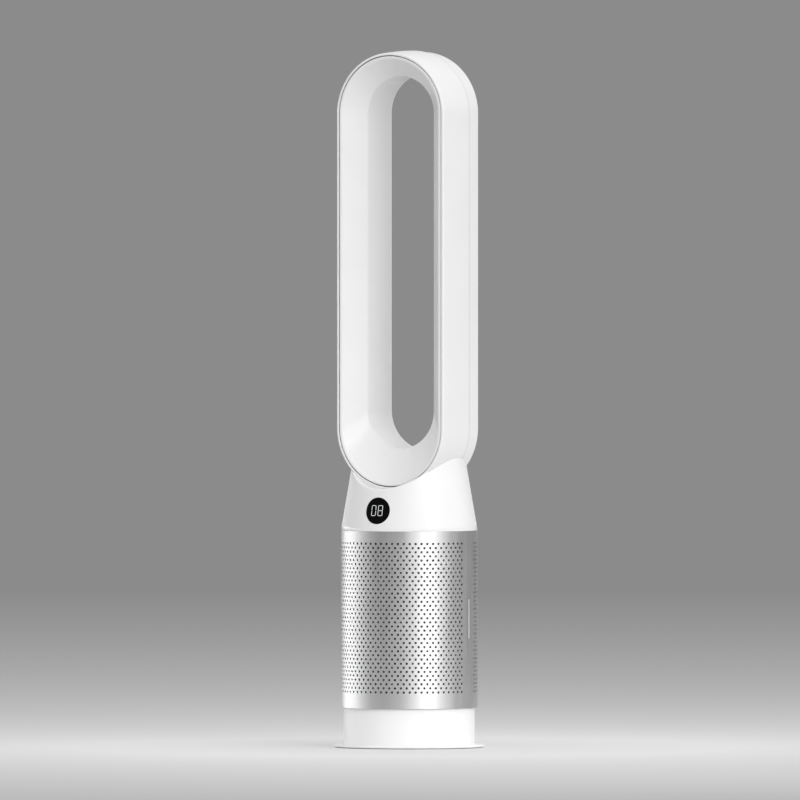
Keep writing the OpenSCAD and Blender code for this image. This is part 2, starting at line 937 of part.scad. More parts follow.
// Upright wall between the two filters, out to the shroud's frame
module chassis_column(cage_h) {
    start_x = cage_inner_r + cage_inset;
    translate([start_x, -column_half, chassis_z0])
        cube([column_r - start_x, 2 * column_half, cage_h + overrun]);
}

// Pocket of a release button: a wide chamber behind a narrower mouth
module release_pocket() {
    half_w = release_w / 2 + slide_gap;
    half_l = release_l / 2 + slide_gap;
    translate([column_r - pocket_depth, -half_w, release_z - half_l - release_flange])
        cube([pocket_depth - column_lip, 2 * half_w, 2 * half_l + 2 * release_flange]);
    translate([column_r - column_lip - overrun, -half_w, release_z - half_l])
        cube([column_lip + 2 * overrun, 2 * half_w, 2 * half_l]);
}

// Strip that follows the shroud's curve, with a flange behind the pocket's mouth
module release_button() {
    flange_x = column_r - column_lip - seat_gap - release_flange_t;
    intersection() {
        translate([flange_x, -release_w / 2, release_z - release_l / 2])
            cube([shroud_r - flange_x, release_w, release_l]);
        cylinder(h = shroud_z1, r = shroud_r);
    }
    translate([flange_x, -release_w / 2, release_z - release_l / 2 - release_flange])
        cube([release_flange_t, release_w, release_l + 2 * release_flange]);
}

module right_release_button() {
    color(silver_metal)
        release_button();
}

module left_release_button() {
    color(silver_metal)
    at_rear()
        release_button();
}

module release_spring() {
    back_x = column_r - pocket_depth;
    flange_x = column_r - column_lip - seat_gap - release_flange_t;
    translate([back_x + seat_gap / 2, 0, release_z])
        rotate([0, 90, 0])
            coil_spring(flange_x - back_x - seat_gap, release_spring_r, release_wire, release_turns);
}

module right_button_spring() {
    color(steel)
        release_spring();
}

module left_button_spring() {
    color(steel)
    at_rear()
        release_spring();
}

// Flared inlet under the impeller
module intake_bell() {
    color(dark_plastic)
    translate([0, 0, impeller_z0 - bell_r])
        rotate_extrude()
            difference() {
                translate([inlet_r + tip_gap, 0])
                    square([bell_r, bell_r]);
                translate([inlet_r + tip_gap + bell_r, bell_r])
                    circle(r = bell_r - casing_wall);
                translate([inlet_r + tip_gap + bell_r, bell_r])
                    difference() {
                        circle(r = 2 * bell_r);
                        circle(r = bell_r);
                    }
            }
}

// Outline of the blades' outer edge, grown by a gap
function tip_outline(gap) = [
    [inlet_r + gap, impeller_z0],
    [inlet_r + (impeller_r - inlet_r) / 6 + gap, impeller_z0 + impeller_h / 3],
    [inlet_r + (impeller_r - inlet_r) / 2 + gap, impeller_z0 + impeller_h * 2 / 3],
    [impeller_r + gap, impeller_z1]
];

// Wall round the impeller and the diffuser, hung from the chassis plate
module impeller_casing() {
    outer_r = casing_r;
    inner_r = casing_r - casing_wall;
    inside = tip_outline(tip_gap);
    color(dark_plastic)
    rotate_extrude()
        polygon(concat(
            inside,
            [[inner_r, impeller_z1 + flange_t], [inner_r, plate_bottom_z],
                [outer_r + flange_w, plate_bottom_z], [outer_r + flange_w, plate_bottom_z - flange_t],
                [outer_r, plate_bottom_z - flange_t], [outer_r, impeller_z1 + flange_t]],
            [for (i = [len(inside) - 1:-1:0]) [inside[i][0] + casing_wall * casing_slant_share, inside[i][1]]]
        ));
}

// Curved strip from the hub to the rim, as a 2D outline
module swept_strip(r0, r1, sweep, t, steps) {
    mid = [for (i = [0:steps])
        let (r = r0 + (r1 - r0) * i / steps)
        let (a = sweep * (i / steps) ^ sweep_power)
        r * [cos(a), sin(a)]];
    side = [for (i = [0:steps])
        let (a = sweep * (i / steps) ^ sweep_power)
        t / 2 * [-sin(a), cos(a)]];
    polygon(concat(
        [for (i = [0:steps]) mid[i] + side[i]],
        [for (i = [steps:-1:0]) mid[i] - side[i]]
    ));
}

// Mixed-flow wheel: a cone hub with swept blades cut to the casing's curve
module impeller() {
    hub = [
        [shaft_r, impeller_z0], [hub_r0, impeller_z0],
        [hub_r0 + (bucket_r - hub_r0) / 4, impeller_z0 + impeller_h / 2],
        [bucket_r, impeller_z1 - blade_t], [bucket_r, impeller_z1], [shaft_r, impeller_z1]
    ];
    color(paper_white)
    union() {
        intersection() {
            translate([0, 0, impeller_z0])
                for (k = [0:blade_count - 1])
                    rotate([0, 0, 360 / blade_count * k])
                        linear_extrude(height = impeller_h)
                            swept_strip(hub_r0 - blade_t, impeller_r + overrun,
                                blade_sweep, blade_t, blade_steps);
            rotate_extrude()
                polygon(concat([[hub_r0 - blade_t, impeller_z0]], tip_outline(0),
                    [[hub_r0 - blade_t, impeller_z1]]));
        }
        rotate_extrude()
            polygon(hub);
    }
}

// Motor bucket with stator vanes and an outer ring that fits the casing
module diffuser() {
    ring_out = casing_r - casing_wall - seat_gap;
    ring_in = ring_out - casing_wall;
    color(dark_plastic)
    translate([0, 0, bucket_z0])
    difference() {
        union() {
            cylinder(h = bucket_h, r = bucket_r);
            translate([0, 0, vane_inset])
                tube(ring_out, ring_in, vane_h);
            translate([0, 0, vane_inset])
                for (k = [0:vane_count - 1])
                    rotate([0, 0, 360 / vane_count * k])
                        linear_extrude(height = vane_h)
                            swept_strip(bucket_r - bucket_wall / 2, ring_in + casing_wall / 2,
                                vane_sweep, vane_t, vane_steps);
        }
        translate([0, 0, bucket_wall])
            cylinder(h = bucket_h, r = bucket_r - bucket_wall);
        translate([0, 0, -overrun])
            cylinder(h = bucket_wall + 2 * overrun, r = bearing_r);
    }
}

// Two half cups that hold the bearings and the stator
module motor_housing() {
    color(steel)
    translate([0, 0, motor_z0])
    difference() {
        cylinder(h = motor_l, r = motor_r);
        translate([0, 0, bearing_t + motor_shell])
            cylinder(h = motor_l - 2 * bearing_t - 2 * motor_shell, r = motor_r - motor_shell);
        translate([0, 0, -overrun])
            cylinder(h = motor_l + 2 * overrun, r = shaft_r + seat_gap);
        for (z = [motor_shell / 2, motor_l - motor_shell / 2 - bearing_t])
            translate([0, 0, z])
                cylinder(h = bearing_t, r = bearing_r + fit_gap);
    }
}

module motor_stator() {
    stator_h = motor_l - 2 * bearing_t - 2 * motor_shell;
    inner_r = rotor_r + air_gap;
    outer_r = motor_r - motor_shell - fit_gap;
    color(silver_metal)
    translate([0, 0, motor_z0 + bearing_t + motor_shell])
        linear_extrude(height = stator_h)
            difference() {
                circle(r = outer_r);
                circle(r = inner_r);
                for (k = [0:stator_slots - 1])
                    rotate(360 / stator_slots * k)
                        translate([(inner_r + outer_r) / 2, 0])
                            circle(r = (outer_r - inner_r) / 3);
            }
}

module motor_bearings() {
    color(steel)
    for (z = [motor_shell / 2, motor_l - motor_shell / 2 - bearing_t])
        translate([0, 0, motor_z0 + z])
            tube(bearing_r, shaft_r + fit_gap, bearing_t);
}

module motor_rotor() {
    rotor_h = motor_l - 2 * bearing_t - 4 * motor_shell;
    color(dark_plastic)
    translate([0, 0, motor_z0 + (motor_l - rotor_h) / 2])
        tube(rotor_r, shaft_r, rotor_h);
}

module motor_shaft() {
    color(steel)
    translate([0, 0, impeller_z0])
        cylinder(h = motor_z0 + motor_l - impeller_z0, r = shaft_r);
}

// Rubber rings between the motor and its bucket
module motor_mounts() {
    color(grey_rubber)
    for (z = [motor_l / 6, motor_l * 5 / 6 - mount_h])
        translate([0, 0, motor_z0 + z])
            tube(bucket_r - bucket_wall - fit_gap, motor_r + fit_gap, mount_h);
}

// Foam nose on the motor bucket
module silencer_foam() {
    color(dark_plastic)
    translate([0, 0, bucket_z0 + bucket_h])
        cylinder(h = foam_h, r1 = bucket_r, r2 = bucket_r * foam_top_share);
}

module air_sensor() {
    color(dark_plastic)
    rotate([0, 0, sensor_direction])
        translate([sensor_r - sensor_d / 2, -sensor_w / 2, shroud_z1])
            difference() {
                cube([sensor_d, sensor_w, sensor_h]);
                translate([sensor_d / 2, sensor_w / 2, sensor_h - sensor_port_r])
                    cylinder(h = sensor_port_r + overrun, r = sensor_port_r);
            }
}

module neck_screws() {
    color(steel)
    around(screw_count, neck_screw_circle_r, screw_turn)
        translate([0, 0, plate_bottom_z])
            screw_up(neck_screw_l);
}

// Cone from the chassis plate up to the loop's collar
module flow_duct() {
    low_r = plate_hole_r + duct_wall;
    z1 = shroud_z1 + duct_taper_h;
    z2 = z1 + duct_top_h;
    top_out = duct_top_r + duct_wall;
    color(dark_plastic)
    rotate_extrude()
        polygon([
            [plate_hole_r, shroud_z1], [duct_top_r, z1], [duct_top_r, z2], [top_out, z2],
            [top_out, z1], [low_r + duct_wall, shroud_z1 + flange_t],
            [low_r + duct_flange_w, shroud_z1 + flange_t], [low_r + duct_flange_w, shroud_z1]
        ]);
}

module duct_seal() {
    seal_h = duct_top_h - duct_wall;
    color(grey_rubber)
    translate([0, 0, shroud_z1 + duct_taper_h + duct_wall / 2])
        tube(duct_top_r - fit_gap, collar_r + fit_gap, seal_h);
}

// Solid that the loop's lower end fills, grown by a distance
module saddle(grow) {
    translate([0, 0, lower_arc_z])
        rotate([-90, 0, 0]) {
            translate([0, 0, -neck_r])
                cylinder(h = 2 * neck_r, r = rim_r + grow);
            rotate_extrude()
                polygon(concat([[0, -loop_front - grow]], barrel_outline(grow + seat_gap),
                    [[0, loop_back + grow + seat_gap]]));
        }
}

// Solid of the neck's cone up to the loop's middle, thinner by an inset
module neck_cone(inset, z0) {
    cylinder_h = lower_arc_z - z0;
    translate([0, 0, z0])
        cylinder(h = cylinder_h, r1 = neck_r_at(z0) - inset, r2 = neck_r_at(lower_arc_z) - inset);
}

// The outside face of the neck at the display's height, with +Z pointing outwards
module on_neck(turn) {
    z = neck_z0 + display_mid;
    rotate([0, 0, turn])
        translate([0, -neck_r_at(z), z])
            rotate([90 - neck_angle, 0, 0])
                children();
}

// White cone under the loop, cut to the loop's curve
module neck_housing() {
    wall = neck_wall / cos(neck_angle);
    color(white_plastic)
    difference() {
        union() {
            difference() {
                neck_cone(0, neck_z0);
                saddle(0);
                difference() {
                    neck_cone(wall, neck_z0 - overrun);
                    saddle(neck_wall);
                }
            }
            neck_flange();
            display_ring();
            power_guide();
        }
        translate([0, 0, neck_z0])
            cylinder(h = lower_arc_z - neck_z0, r = neck_hole_r);
        on_neck(0)
            translate([0, 0, -neck_wall - display_ring_h - overrun])
                cylinder(h = neck_wall + display_ring_h + 3 * overrun, r = display_d / 2 + lens_gap);
        on_neck(180)
            translate([0, 0, -neck_wall - overrun])
                cylinder(h = neck_wall + 3 * overrun, r = power_d / 2 + slide_gap);
        around(screw_count, neck_screw_circle_r, screw_turn)
            translate([0, 0, neck_z0 - overrun])
                cylinder(h = plate_bottom_z + neck_screw_l + overrun - neck_z0, r = screw_r + fit_gap);
    }
}

// Ring inside the neck's foot that the screws hold
module neck_flange() {
    difference() {
        translate([0, 0, neck_z0])
            cylinder(h = neck_flange_t, r = neck_r - neck_wall);
        translate([0, 0, neck_z0 - overrun])
            cylinder(h = neck_flange_t + 2 * overrun, r = neck_r - neck_wall - neck_flange_w);
    }
}

// Collar behind the display window, cut off at the neck's outside
module display_ring() {
    ring_r = display_d / 2 + lens_gap + display_ring_t;
    intersection() {
        on_neck(0)
            translate([0, 0, -neck_wall - display_ring_h])
                cylinder(h = display_ring_h + neck_wall, r = ring_r);
        neck_cone(neck_wall / 2, neck_z0);
    }
}

// Closed cup behind the power button
module power_guide() {
    inner_r = power_d / 2 + power_flange + slide_gap;
    on_neck(180)
        difference() {
            translate([0, 0, -neck_wall - power_guide_l - power_guide_t])
                cylinder(h = power_guide_l + power_guide_t + fit_gap * 2, r = inner_r + power_guide_t);
            translate([0, 0, -neck_wall - power_guide_l])
                cylinder(h = power_guide_l + overrun, r = inner_r);
        }
}

module power_button() {
    color(silver_metal)
    on_neck(180) {
        translate([0, 0, -power_stem])
            cylinder(h = power_stem, r = power_d / 2);
        translate([0, 0, -power_stem])
            cylinder(h = power_stem - neck_wall - seat_gap - power_curve_gap, r = power_d / 2 + power_flange);
    }
}

module power_button_spring() {
    low = -neck_wall - power_guide_l + seat_gap / 2;
    color(steel)
    on_neck(180)
        translate([0, 0, low])
            coil_spring(-power_stem - low - seat_gap / 2, power_spring_r, power_wire, power_turns);
}

// Glossy disc that follows the neck's cone
module display_lens() {
    $fn = 360;
    color(black_gloss)
    intersection() {
        on_neck(0)
            translate([0, 0, -lens_t])
                cylinder(h = lens_t + overrun, r = display_d / 2);
        neck_cone(0, neck_z0);
    }
}

module display_board() {
    color(board_green)
    on_neck(0)
        translate([0, 0, -neck_wall - display_ring_h - board_t - fit_gap]) {
            cylinder(h = board_t, r = display_d / 2 + display_ring_t);
            translate([-display_module_w / 2, -display_module_h / 2, board_t - fit_gap])
                cube([display_module_w, display_module_h, display_module_t]);
        }
}

// A profile in [radius, depth] carried round the loop's stadium
module stadium_ring() {
    for (side = [0, 1])
        mirror([side, 0, 0])
            translate([0, 0, lower_arc_z])
                linear_extrude(height = loop_straight)
                    children();
    translate([0, 0, lower_arc_z])
        rotate([-90, 0, 0])
            rotate_extrude(angle = 180)
                children();
    translate([0, 0, upper_arc_z])
        mirror([0, 0, 1])
            rotate([-90, 0, 0])
                rotate_extrude(angle = 180)
                    children();
}

// Flat stadium plate standing in the XZ plane from y = 0 to y = t
module stadium_plate(r, z_low, z_high, t) {
    for (z = [z_low, z_high])
        translate([0, 0, z])
            rotate([-90, 0, 0])
                cylinder(h = t, r = r);
    translate([-r, 0, z_low])
        cube([2 * r, t, z_high - z_low]);
}

// Barrel with its front lip and its flat back, and the collar that enters the neck
module loop_outer_shell() {
    outside = barrel_outline(0);
    inside = barrel_outline(-loop_wall);
    last = len(inside) - 1;
    back_y = loop_back - rear_plate_t;
    color(white_plastic)
    difference() {
        union() {
            stadium_ring()
                polygon(concat(
                    [[rim_r - lip_w, -loop_front]],
                    outside,
                    [for (i = [last:-1:1]) inside[i]],
                    [[inside[0][0], -loop_front + loop_wall], [rim_r - lip_w, -loop_front + loop_wall]]
                ));
            difference() {
                translate([0, back_y, 0])
                    stadium_plate(rear_r - corner_r + fit_gap, lower_arc_z, upper_arc_z, rear_plate_t);
                translate([0, back_y - overrun, 0])
                    stadium_plate(tail_end_r + inner_wall + seat_gap, opening_arc_z, upper_arc_z,
                        rear_plate_t + 2 * overrun);
            }
            difference() {
                translate([0, 0, shroud_z1 + duct_taper_h])
                    cylinder(h = collar_top_z - shroud_z1 - duct_taper_h - collar_reach, r = collar_r);
                translate([0, 0, lower_arc_z])
                    rotate([-90, 0, 0])
                        rotate_extrude()
                            polygon(concat([[0, -loop_front + loop_wall]], inside, [[0, back_y]]));
            }
        }
        translate([0, 0, shroud_z1])
            cylinder(h = collar_top_z - shroud_z1, r = collar_r - collar_wall);
    }
}

// Lip, funnel, throat and tail in one smooth band round the opening
module loop_inner_shell() {
    section = inner_section();
    rings = [for (upper = [true, false]) for (i = [0:arc_steps])
        let (angle = 180 * i / arc_steps + (upper ? 0 : 180))
        [for (p = section) loop_point(p, angle, upper)]];
    color(white_plastic)
        closed_band(rings);
}

// One rib between the two shells, standing out from the arc's centre along +X
module slot_spacer() {
    back_depth = loop_front - lip_drop - inner_wall * 1.5;
    front_y = spacer_y - spacer_w / 2;
    along_share = (back_depth + front_y) / (back_depth - crease_y + inner_wall);
    inner_r = lip_r + inner_wall - (lip_r - opening_r) * along_share + fit_gap;
    outer_r = barrel_r(front_y) - loop_wall - seat_gap;
    translate([inner_r, front_y, -spacer_t / 2])
        cube([outer_r - inner_r, spacer_w, spacer_t]);
}

module slot_spacers() {
    color(dark_plastic) {
        for (k = [0:spacer_count - 1])
            for (side = [0, 1])
                translate([0, 0, opening_arc_z + (upper_arc_z - opening_arc_z) * k / (spacer_count - 1)])
                    mirror([side, 0, 0])
                        slot_spacer();
        for (k = [1:spacer_arc_count])
            translate([0, 0, upper_arc_z])
                rotate([0, -180 * k / (spacer_arc_count + 1), 0])
                    slot_spacer();
    }
}

// Perforated half shell in front of the axis
module shroud_half() {
    hole_zone = shroud_h - top_band - bottom_band;
    half_angle = 90 - side_band_angle;
    step = 2 * half_angle / (hole_columns - 1);
    difference() {
        front_half(seam_half, shroud_r + overrun, turret_z0, shroud_z1)
            translate([0, 0, turret_z0])
                tube(shroud_r, shroud_inner_r, shroud_h);
        for (row = [0:hole_rows - 1])
            for (col = [0:hole_columns - 1 - row % 2])
                translate([0, 0, turret_z0 + bottom_band + hole_zone * row / (hole_rows - 1)])
                    rotate([0, 0, -90 - half_angle + step * (col + (row % 2) / 2)])
                        translate([shroud_inner_r - overrun, 0, 0])
                            rotate([0, 90, 0])
                                cylinder(h = shroud_t + 2 * overrun, d = hole_d, $fn = 24);
    }
}

// Silver strip on a chassis column, flush with the half shells, with the release button's mouth
module side_strip() {
    half_w = release_w / 2 + slide_gap;
    half_l = release_l / 2 + slide_gap;
    difference() {
        intersection() {
            translate([0, -column_half, turret_z0])
                cube([shroud_r, 2 * column_half, shroud_h]);
            translate([0, 0, turret_z0])
                tube(shroud_r, chassis_r + fit_gap, shroud_h);
        }
        translate([0, 0, turret_z0 - overrun])
            cylinder(h = turntable_t + fit_gap + overrun, r = turntable_r + fit_gap);
        translate([chassis_r - overrun, -half_w, release_z - half_l])
            cube([shroud_r - chassis_r + 2 * overrun, 2 * half_w, 2 * half_l]);
    }
}

module right_side_strip() {
    color(silver_metal)
        side_strip();
}

module left_side_strip() {
    color(silver_metal)
    at_rear()
        side_strip();
}

// Plastic hoops and uprights behind the perforated sheet
module shroud_frame_half() {
    outer_r = shroud_inner_r - frame_gap;
    inner_r = outer_r - frame_t;
    top_z = shroud_z1 - frame_band;
    front_half(seam_half, shroud_r, turret_z0, shroud_z1)
        union() {
            translate([0, 0, frame_z0])
                tube(outer_r, inner_r, frame_band);
            translate([0, 0, top_z])
                tube(outer_r, inner_r, frame_band);
            intersection() {
                translate([0, 0, frame_z0])
                    tube(outer_r, inner_r, shroud_z1 - frame_z0);
                translate([-shroud_r, -seam_half - frame_band, frame_z0])
                    cube([2 * shroud_r, frame_band, shroud_z1 - frame_z0]);
            }
        }
}

module front_shroud() {
    color(silver_metal)
        shroud_half();
}

module front_shroud_frame() {
    color(dark_plastic)
        shroud_frame_half();
}

module rear_shroud() {
    color(silver_metal)
    at_rear()
        shroud_half();
}

module rear_shroud_frame() {
    color(dark_plastic)
    at_rear()
        shroud_frame_half();
}

// End caps, end walls and the pull tab of a half-round filter
module filter_frame_half() {
    cap_z = filter_z1 - filter_cap_h;
    front_half(filter_cut, filter_r + overrun, filter_z0, filter_z1)
        union() {
            translate([0, 0, filter_z0])
                tube(filter_r, filter_inner_r, filter_cap_h);
            translate([0, 0, cap_z])
                tube(filter_r, filter_inner_r, filter_cap_h);
            intersection() {
                translate([0, 0, filter_z0])
                    tube(filter_r, filter_inner_r, filter_z1 - filter_z0);
                translate([-filter_r, -filter_cut - filter_end_t, filter_z0])
                    cube([2 * filter_r, filter_end_t, filter_z1 - filter_z0]);
            }
            intersection() {
                translate([0, 0, cap_z - tab_h])
                    tube(filter_r, filter_r - tab_t, tab_h + fit_gap);
                translate([-tab_w / 2, -filter_r, cap_z - tab_h])
                    cube([tab_w, filter_r, tab_h + fit_gap]);
            }
        }
}

// Pleated sheet between the end caps
module filter_media_half() {
    fold_out = filter_r - tab_t - seat_gap;
    fold_in = filter_inner_r + carbon_t + 2 * seat_gap + media_t;
    start = asin((filter_cut + filter_end_t + seat_gap) / fold_in);
    angle_step = (180 - 2 * start) / (2 * pleat_count);
    sheet = [for (i = [0:2 * pleat_count])
        let (a = 180 + start + angle_step * i)
        let (r = i % 2 == 0 ? fold_in : fold_out)
        [r * cos(a), r * sin(a), r]];
    translate([0, 0, filter_z0 + filter_cap_h])
        linear_extrude(height = filter_z1 - filter_z0 - 2 * filter_cap_h)
            polygon(concat(
                [for (p = sheet) [p[0], p[1]]],
                [for (i = [len(sheet) - 1:-1:0])
                    let (p = sheet[i])
                    [p[0], p[1]] * (p[2] - media_t) / p[2]]
            ));
}

// Half tube of carbon felt inside the pleats
module carbon_layer_half() {
    front_half(filter_cut + filter_end_t, filter_r, filter_z0, filter_z1)
        translate([0, 0, filter_z0 + filter_cap_h])
            tube(filter_inner_r + carbon_t, filter_inner_r, filter_z1 - filter_z0 - 2 * filter_cap_h);
}

module front_filter_frame() {
    color(dark_plastic)
        filter_frame_half();
}

module front_filter_media() {
    color(paper_white)
        filter_media_half();
}

module front_carbon_layer() {
    color(black_gloss)
        carbon_layer_half();
}

module rear_filter_frame() {
    color(dark_plastic)
    at_rear()
        filter_frame_half();
}

module rear_filter_media() {
    color(paper_white)
    at_rear()
        filter_media_half();
}

module rear_carbon_layer() {
    color(black_gloss)
    at_rear()
        carbon_layer_half();
}

foot_ring();
base_plate();
base_screws();
base_housing();
mains_inlet();
inlet_pins();
power_board();
ring_gear();
lower_race();
bearing_balls();
ball_cage();
turntable();
upper_race();
oscillation_motor();
control_board();
chamber_cover();
chassis();
intake_bell();
impeller_casing();
diffuser();
motor_housing();
motor_stator();
motor_bearings();
motor_mounts();
silencer_foam();
air_sensor();
neck_screws();
flow_duct();
duct_seal();
neck_housing();
display_lens();
display_board();
loop_outer_shell();
loop_inner_shell();
slot_spacers();
right_side_strip();
left_side_strip();
right_button_spring();
left_button_spring();
power_button_spring();
drive_pinion();
pinion_shaft();
impeller();
motor_shaft();
motor_rotor();
front_shroud();
front_shroud_frame();
rear_shroud();
rear_shroud_frame();
front_filter_frame();
front_filter_media();
front_carbon_layer();
rear_filter_frame();
rear_filter_media();
rear_carbon_layer();
right_release_button();
left_release_button();
power_button();
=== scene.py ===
"""Looks of the bladeless tower fan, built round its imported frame.

Lengths are millimetres in the tables below and metres in the scene. The front faces -Y, up is +Z.
"""
import json
import math

import bmesh
import bpy
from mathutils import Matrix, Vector


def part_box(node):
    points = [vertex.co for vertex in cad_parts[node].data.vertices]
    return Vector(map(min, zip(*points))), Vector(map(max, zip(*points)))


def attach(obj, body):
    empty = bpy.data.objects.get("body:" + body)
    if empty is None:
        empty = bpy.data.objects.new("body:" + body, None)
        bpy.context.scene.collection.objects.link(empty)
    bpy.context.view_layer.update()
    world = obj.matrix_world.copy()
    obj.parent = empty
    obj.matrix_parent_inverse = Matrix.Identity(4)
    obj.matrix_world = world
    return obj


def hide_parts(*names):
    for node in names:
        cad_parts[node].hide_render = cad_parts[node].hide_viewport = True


MM = 0.001
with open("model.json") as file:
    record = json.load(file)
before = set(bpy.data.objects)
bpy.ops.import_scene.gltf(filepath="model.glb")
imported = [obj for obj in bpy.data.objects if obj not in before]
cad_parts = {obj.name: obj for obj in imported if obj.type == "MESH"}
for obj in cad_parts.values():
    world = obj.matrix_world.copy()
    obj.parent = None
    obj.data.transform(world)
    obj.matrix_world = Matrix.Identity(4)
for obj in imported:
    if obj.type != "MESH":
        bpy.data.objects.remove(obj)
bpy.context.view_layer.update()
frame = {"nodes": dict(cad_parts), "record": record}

# Gaps between the skins and their neighbours
seat_gap = 0.15
seam_gap = 0.1
neck_gap = 0.06
sheet_drop = 0.3

# Levels and radii that the skins share with the solids
shroud_low, shroud_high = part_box("front_shroud")
drum_r = shroud_high[0] / MM
drum_z0 = shroud_low[2] / MM - sheet_drop
drum_z1 = shroud_high[2] / MM
shell_low, shell_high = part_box("loop_outer_shell")
bulge_r = shell_high[0] / MM
loop_front = -shell_low[1] / MM
loop_back = shell_high[1] / MM
loop_top = shell_high[2] / MM
loop_straight = 473.4
upper_arc_z = loop_top - bulge_r
lower_arc_z = upper_arc_z - loop_straight
opening_rise = 26.0
rim_r = 92.0
neck_z0 = drum_z1 + neck_gap
neck_foot_r = 103.0
neck_taper = 0.17
neck_angle = math.atan(neck_taper)
display_rise = 31.0
display_z = neck_z0 + display_rise


# Materials

bump_strength = 0.25


def new_material(name):
    """An empty node material with its principled shader, node tree and object coordinates."""
    mat = bpy.data.materials.new(name)
    mat.use_nodes = True
    tree = mat.node_tree
    shader = tree.nodes["Principled BSDF"]
    coords = tree.nodes.new("ShaderNodeTexCoord")
    return mat, tree, shader, coords.outputs["Object"]


def noise(tree, coords, scale, detail=2.0, stretch=(1, 1, 1)):
    """A noise texture's value in object space, stretched along the axes."""
    mapping = tree.nodes.new("ShaderNodeMapping")
    mapping.inputs["Scale"].default_value = stretch
    tree.links.new(coords, mapping.inputs["Vector"])
    tex = tree.nodes.new("ShaderNodeTexNoise")
    tex.inputs["Scale"].default_value = scale
    tex.inputs["Detail"].default_value = detail
    tree.links.new(mapping.outputs["Vector"], tex.inputs["Vector"])
    return tex.outputs["Fac"]


def ramp(tree, value, stops):
    """A colour ramp over a value, from a list of (place, colour)."""
    node = tree.nodes.new("ShaderNodeValToRGB")
    elements = node.color_ramp.elements
    elements[0].position, elements[0].color = stops[0][0], (*stops[0][1], 1)
    elements[1].position, elements[1].color = stops[-1][0], (*stops[-1][1], 1)
    for place, colour in stops[1:-1]:
        elements.new(place).color = (*colour, 1)
    tree.links.new(value, node.inputs["Fac"])
    return node.outputs["Color"]


def varied(tree, value, low, high):
    """A colour that moves between two colours over the middle of a noise value's range."""
    return ramp(tree, value, [(0.3, low), (0.7, high)])


def bump(tree, shader, value, distance):
    """Bump on a shader from a height value."""
    node = tree.nodes.new("ShaderNodeBump")
    node.inputs["Strength"].default_value = bump_strength
    node.inputs["Distance"].default_value = distance
    tree.links.new(value, node.inputs["Height"])
    tree.links.new(node.outputs["Normal"], shader.inputs["Normal"])


def grey(value, tint=0.0):
    """A grey colour, a little cooler with a tint."""
    return (value, value, value * (1 + tint))


def surface(name, dark, light, rough, metallic=0.0, scale=40.0, stretch=(1, 1, 1), height=0.0,
            height_scale=600.0, specular=0.5):
    """A material whose colour and roughness vary a little, with fine bump where height is given."""
    mat, tree, shader, coords = new_material(name)
    shader.inputs["Metallic"].default_value = metallic
    shader.inputs["Specular IOR Level"].default_value = specular
    value = noise(tree, coords, scale, 3.0, stretch)
    tree.links.new(varied(tree, value, dark, light), shader.inputs["Base Color"])
    tree.links.new(varied(tree, value, *map(grey, rough)), shader.inputs["Roughness"])
    if height:
        bump(tree, shader, noise(tree, coords, height_scale, 2.0, stretch), height)
    return mat


def glow(name, colour, strength):
    """A lit display segment, a little uneven along its length."""
    mat, tree, shader, coords = new_material(name)
    dim, scale, unlit, rough = 0.92, 300.0, 0.05, 0.4
    lit = varied(tree, noise(tree, coords, scale), tuple(c * dim for c in colour), colour)
    tree.links.new(lit, shader.inputs["Emission Color"])
    shader.inputs["Base Color"].default_value = (*grey(unlit), 1)
    shader.inputs["Emission Strength"].default_value = strength
    shader.inputs["Roughness"].default_value = rough
    return mat


MATERIALS = {
    "white_plastic": surface("white_plastic", grey(0.82), grey(0.84), (0.17, 0.21), scale=14.0,
                             height=0.00002, height_scale=220.0, specular=0.3),
    "silver_sheet": surface("silver_sheet", grey(0.61, 0.01), grey(0.66, 0.015), (0.28, 0.32),
                            metallic=1.0, scale=60.0, stretch=(1, 1, 0.2), height=0.00002,
                            height_scale=900.0),
    "silver_plastic": surface("silver_plastic", grey(0.66), grey(0.72), (0.28, 0.33), metallic=0.6,
                              scale=80.0, height=0.00002),
    "display_black": surface("display_black", grey(0.002), grey(0.003), (0.08, 0.12), scale=30.0,
                             specular=0.06),
    "dark_plastic": surface("dark_plastic", grey(0.045), grey(0.06), (0.42, 0.55), scale=50.0,
                            height=0.00006, height_scale=900.0),
    "white_nylon": surface("white_nylon", (0.74, 0.74, 0.7), (0.8, 0.8, 0.77), (0.35, 0.45),
                           scale=30.0, height=0.00003),
    "rubber": surface("rubber", grey(0.03), grey(0.045), (0.7, 0.85), scale=70.0, height=0.00008),
    "steel": surface("steel", grey(0.5), grey(0.6), (0.28, 0.38), metallic=1.0, scale=90.0,
                     stretch=(1, 1, 0.15), height=0.00002),
    "circuit_board": surface("circuit_board", (0.01, 0.11, 0.04), (0.02, 0.16, 0.06), (0.3, 0.45),
                             scale=120.0, height=0.00005),
    "filter_paper": surface("filter_paper", (0.74, 0.74, 0.7), (0.84, 0.84, 0.81), (0.8, 0.95),
                            scale=160.0, height=0.00025, height_scale=1400.0),
    "carbon_felt": surface("carbon_felt", grey(0.012), grey(0.03), (0.85, 1.0), scale=200.0,
                           height=0.0003, height_scale=1200.0),
    "foam": surface("foam", grey(0.03), grey(0.06), (0.85, 1.0), scale=180.0, height=0.0005,
                    height_scale=500.0),
}
# Painted light: the base's white is the white plastic painted lighter, standing in for the strong light on
# the base near the floor
base_white_painted_lighter = surface("base_white_painted_lighter", grey(0.88), grey(0.91), (0.3, 0.36), scale=14.0, height=0.00002,
                     height_scale=220.0, specular=0.3)
digit_light = glow("digit_light", (0.95, 0.97, 1.0), 0.95)
BASE_NODES = ("base_housing", "base_plate")


# Mesh helpers

sharp_angle = math.radians(32)
hole_sides = 72


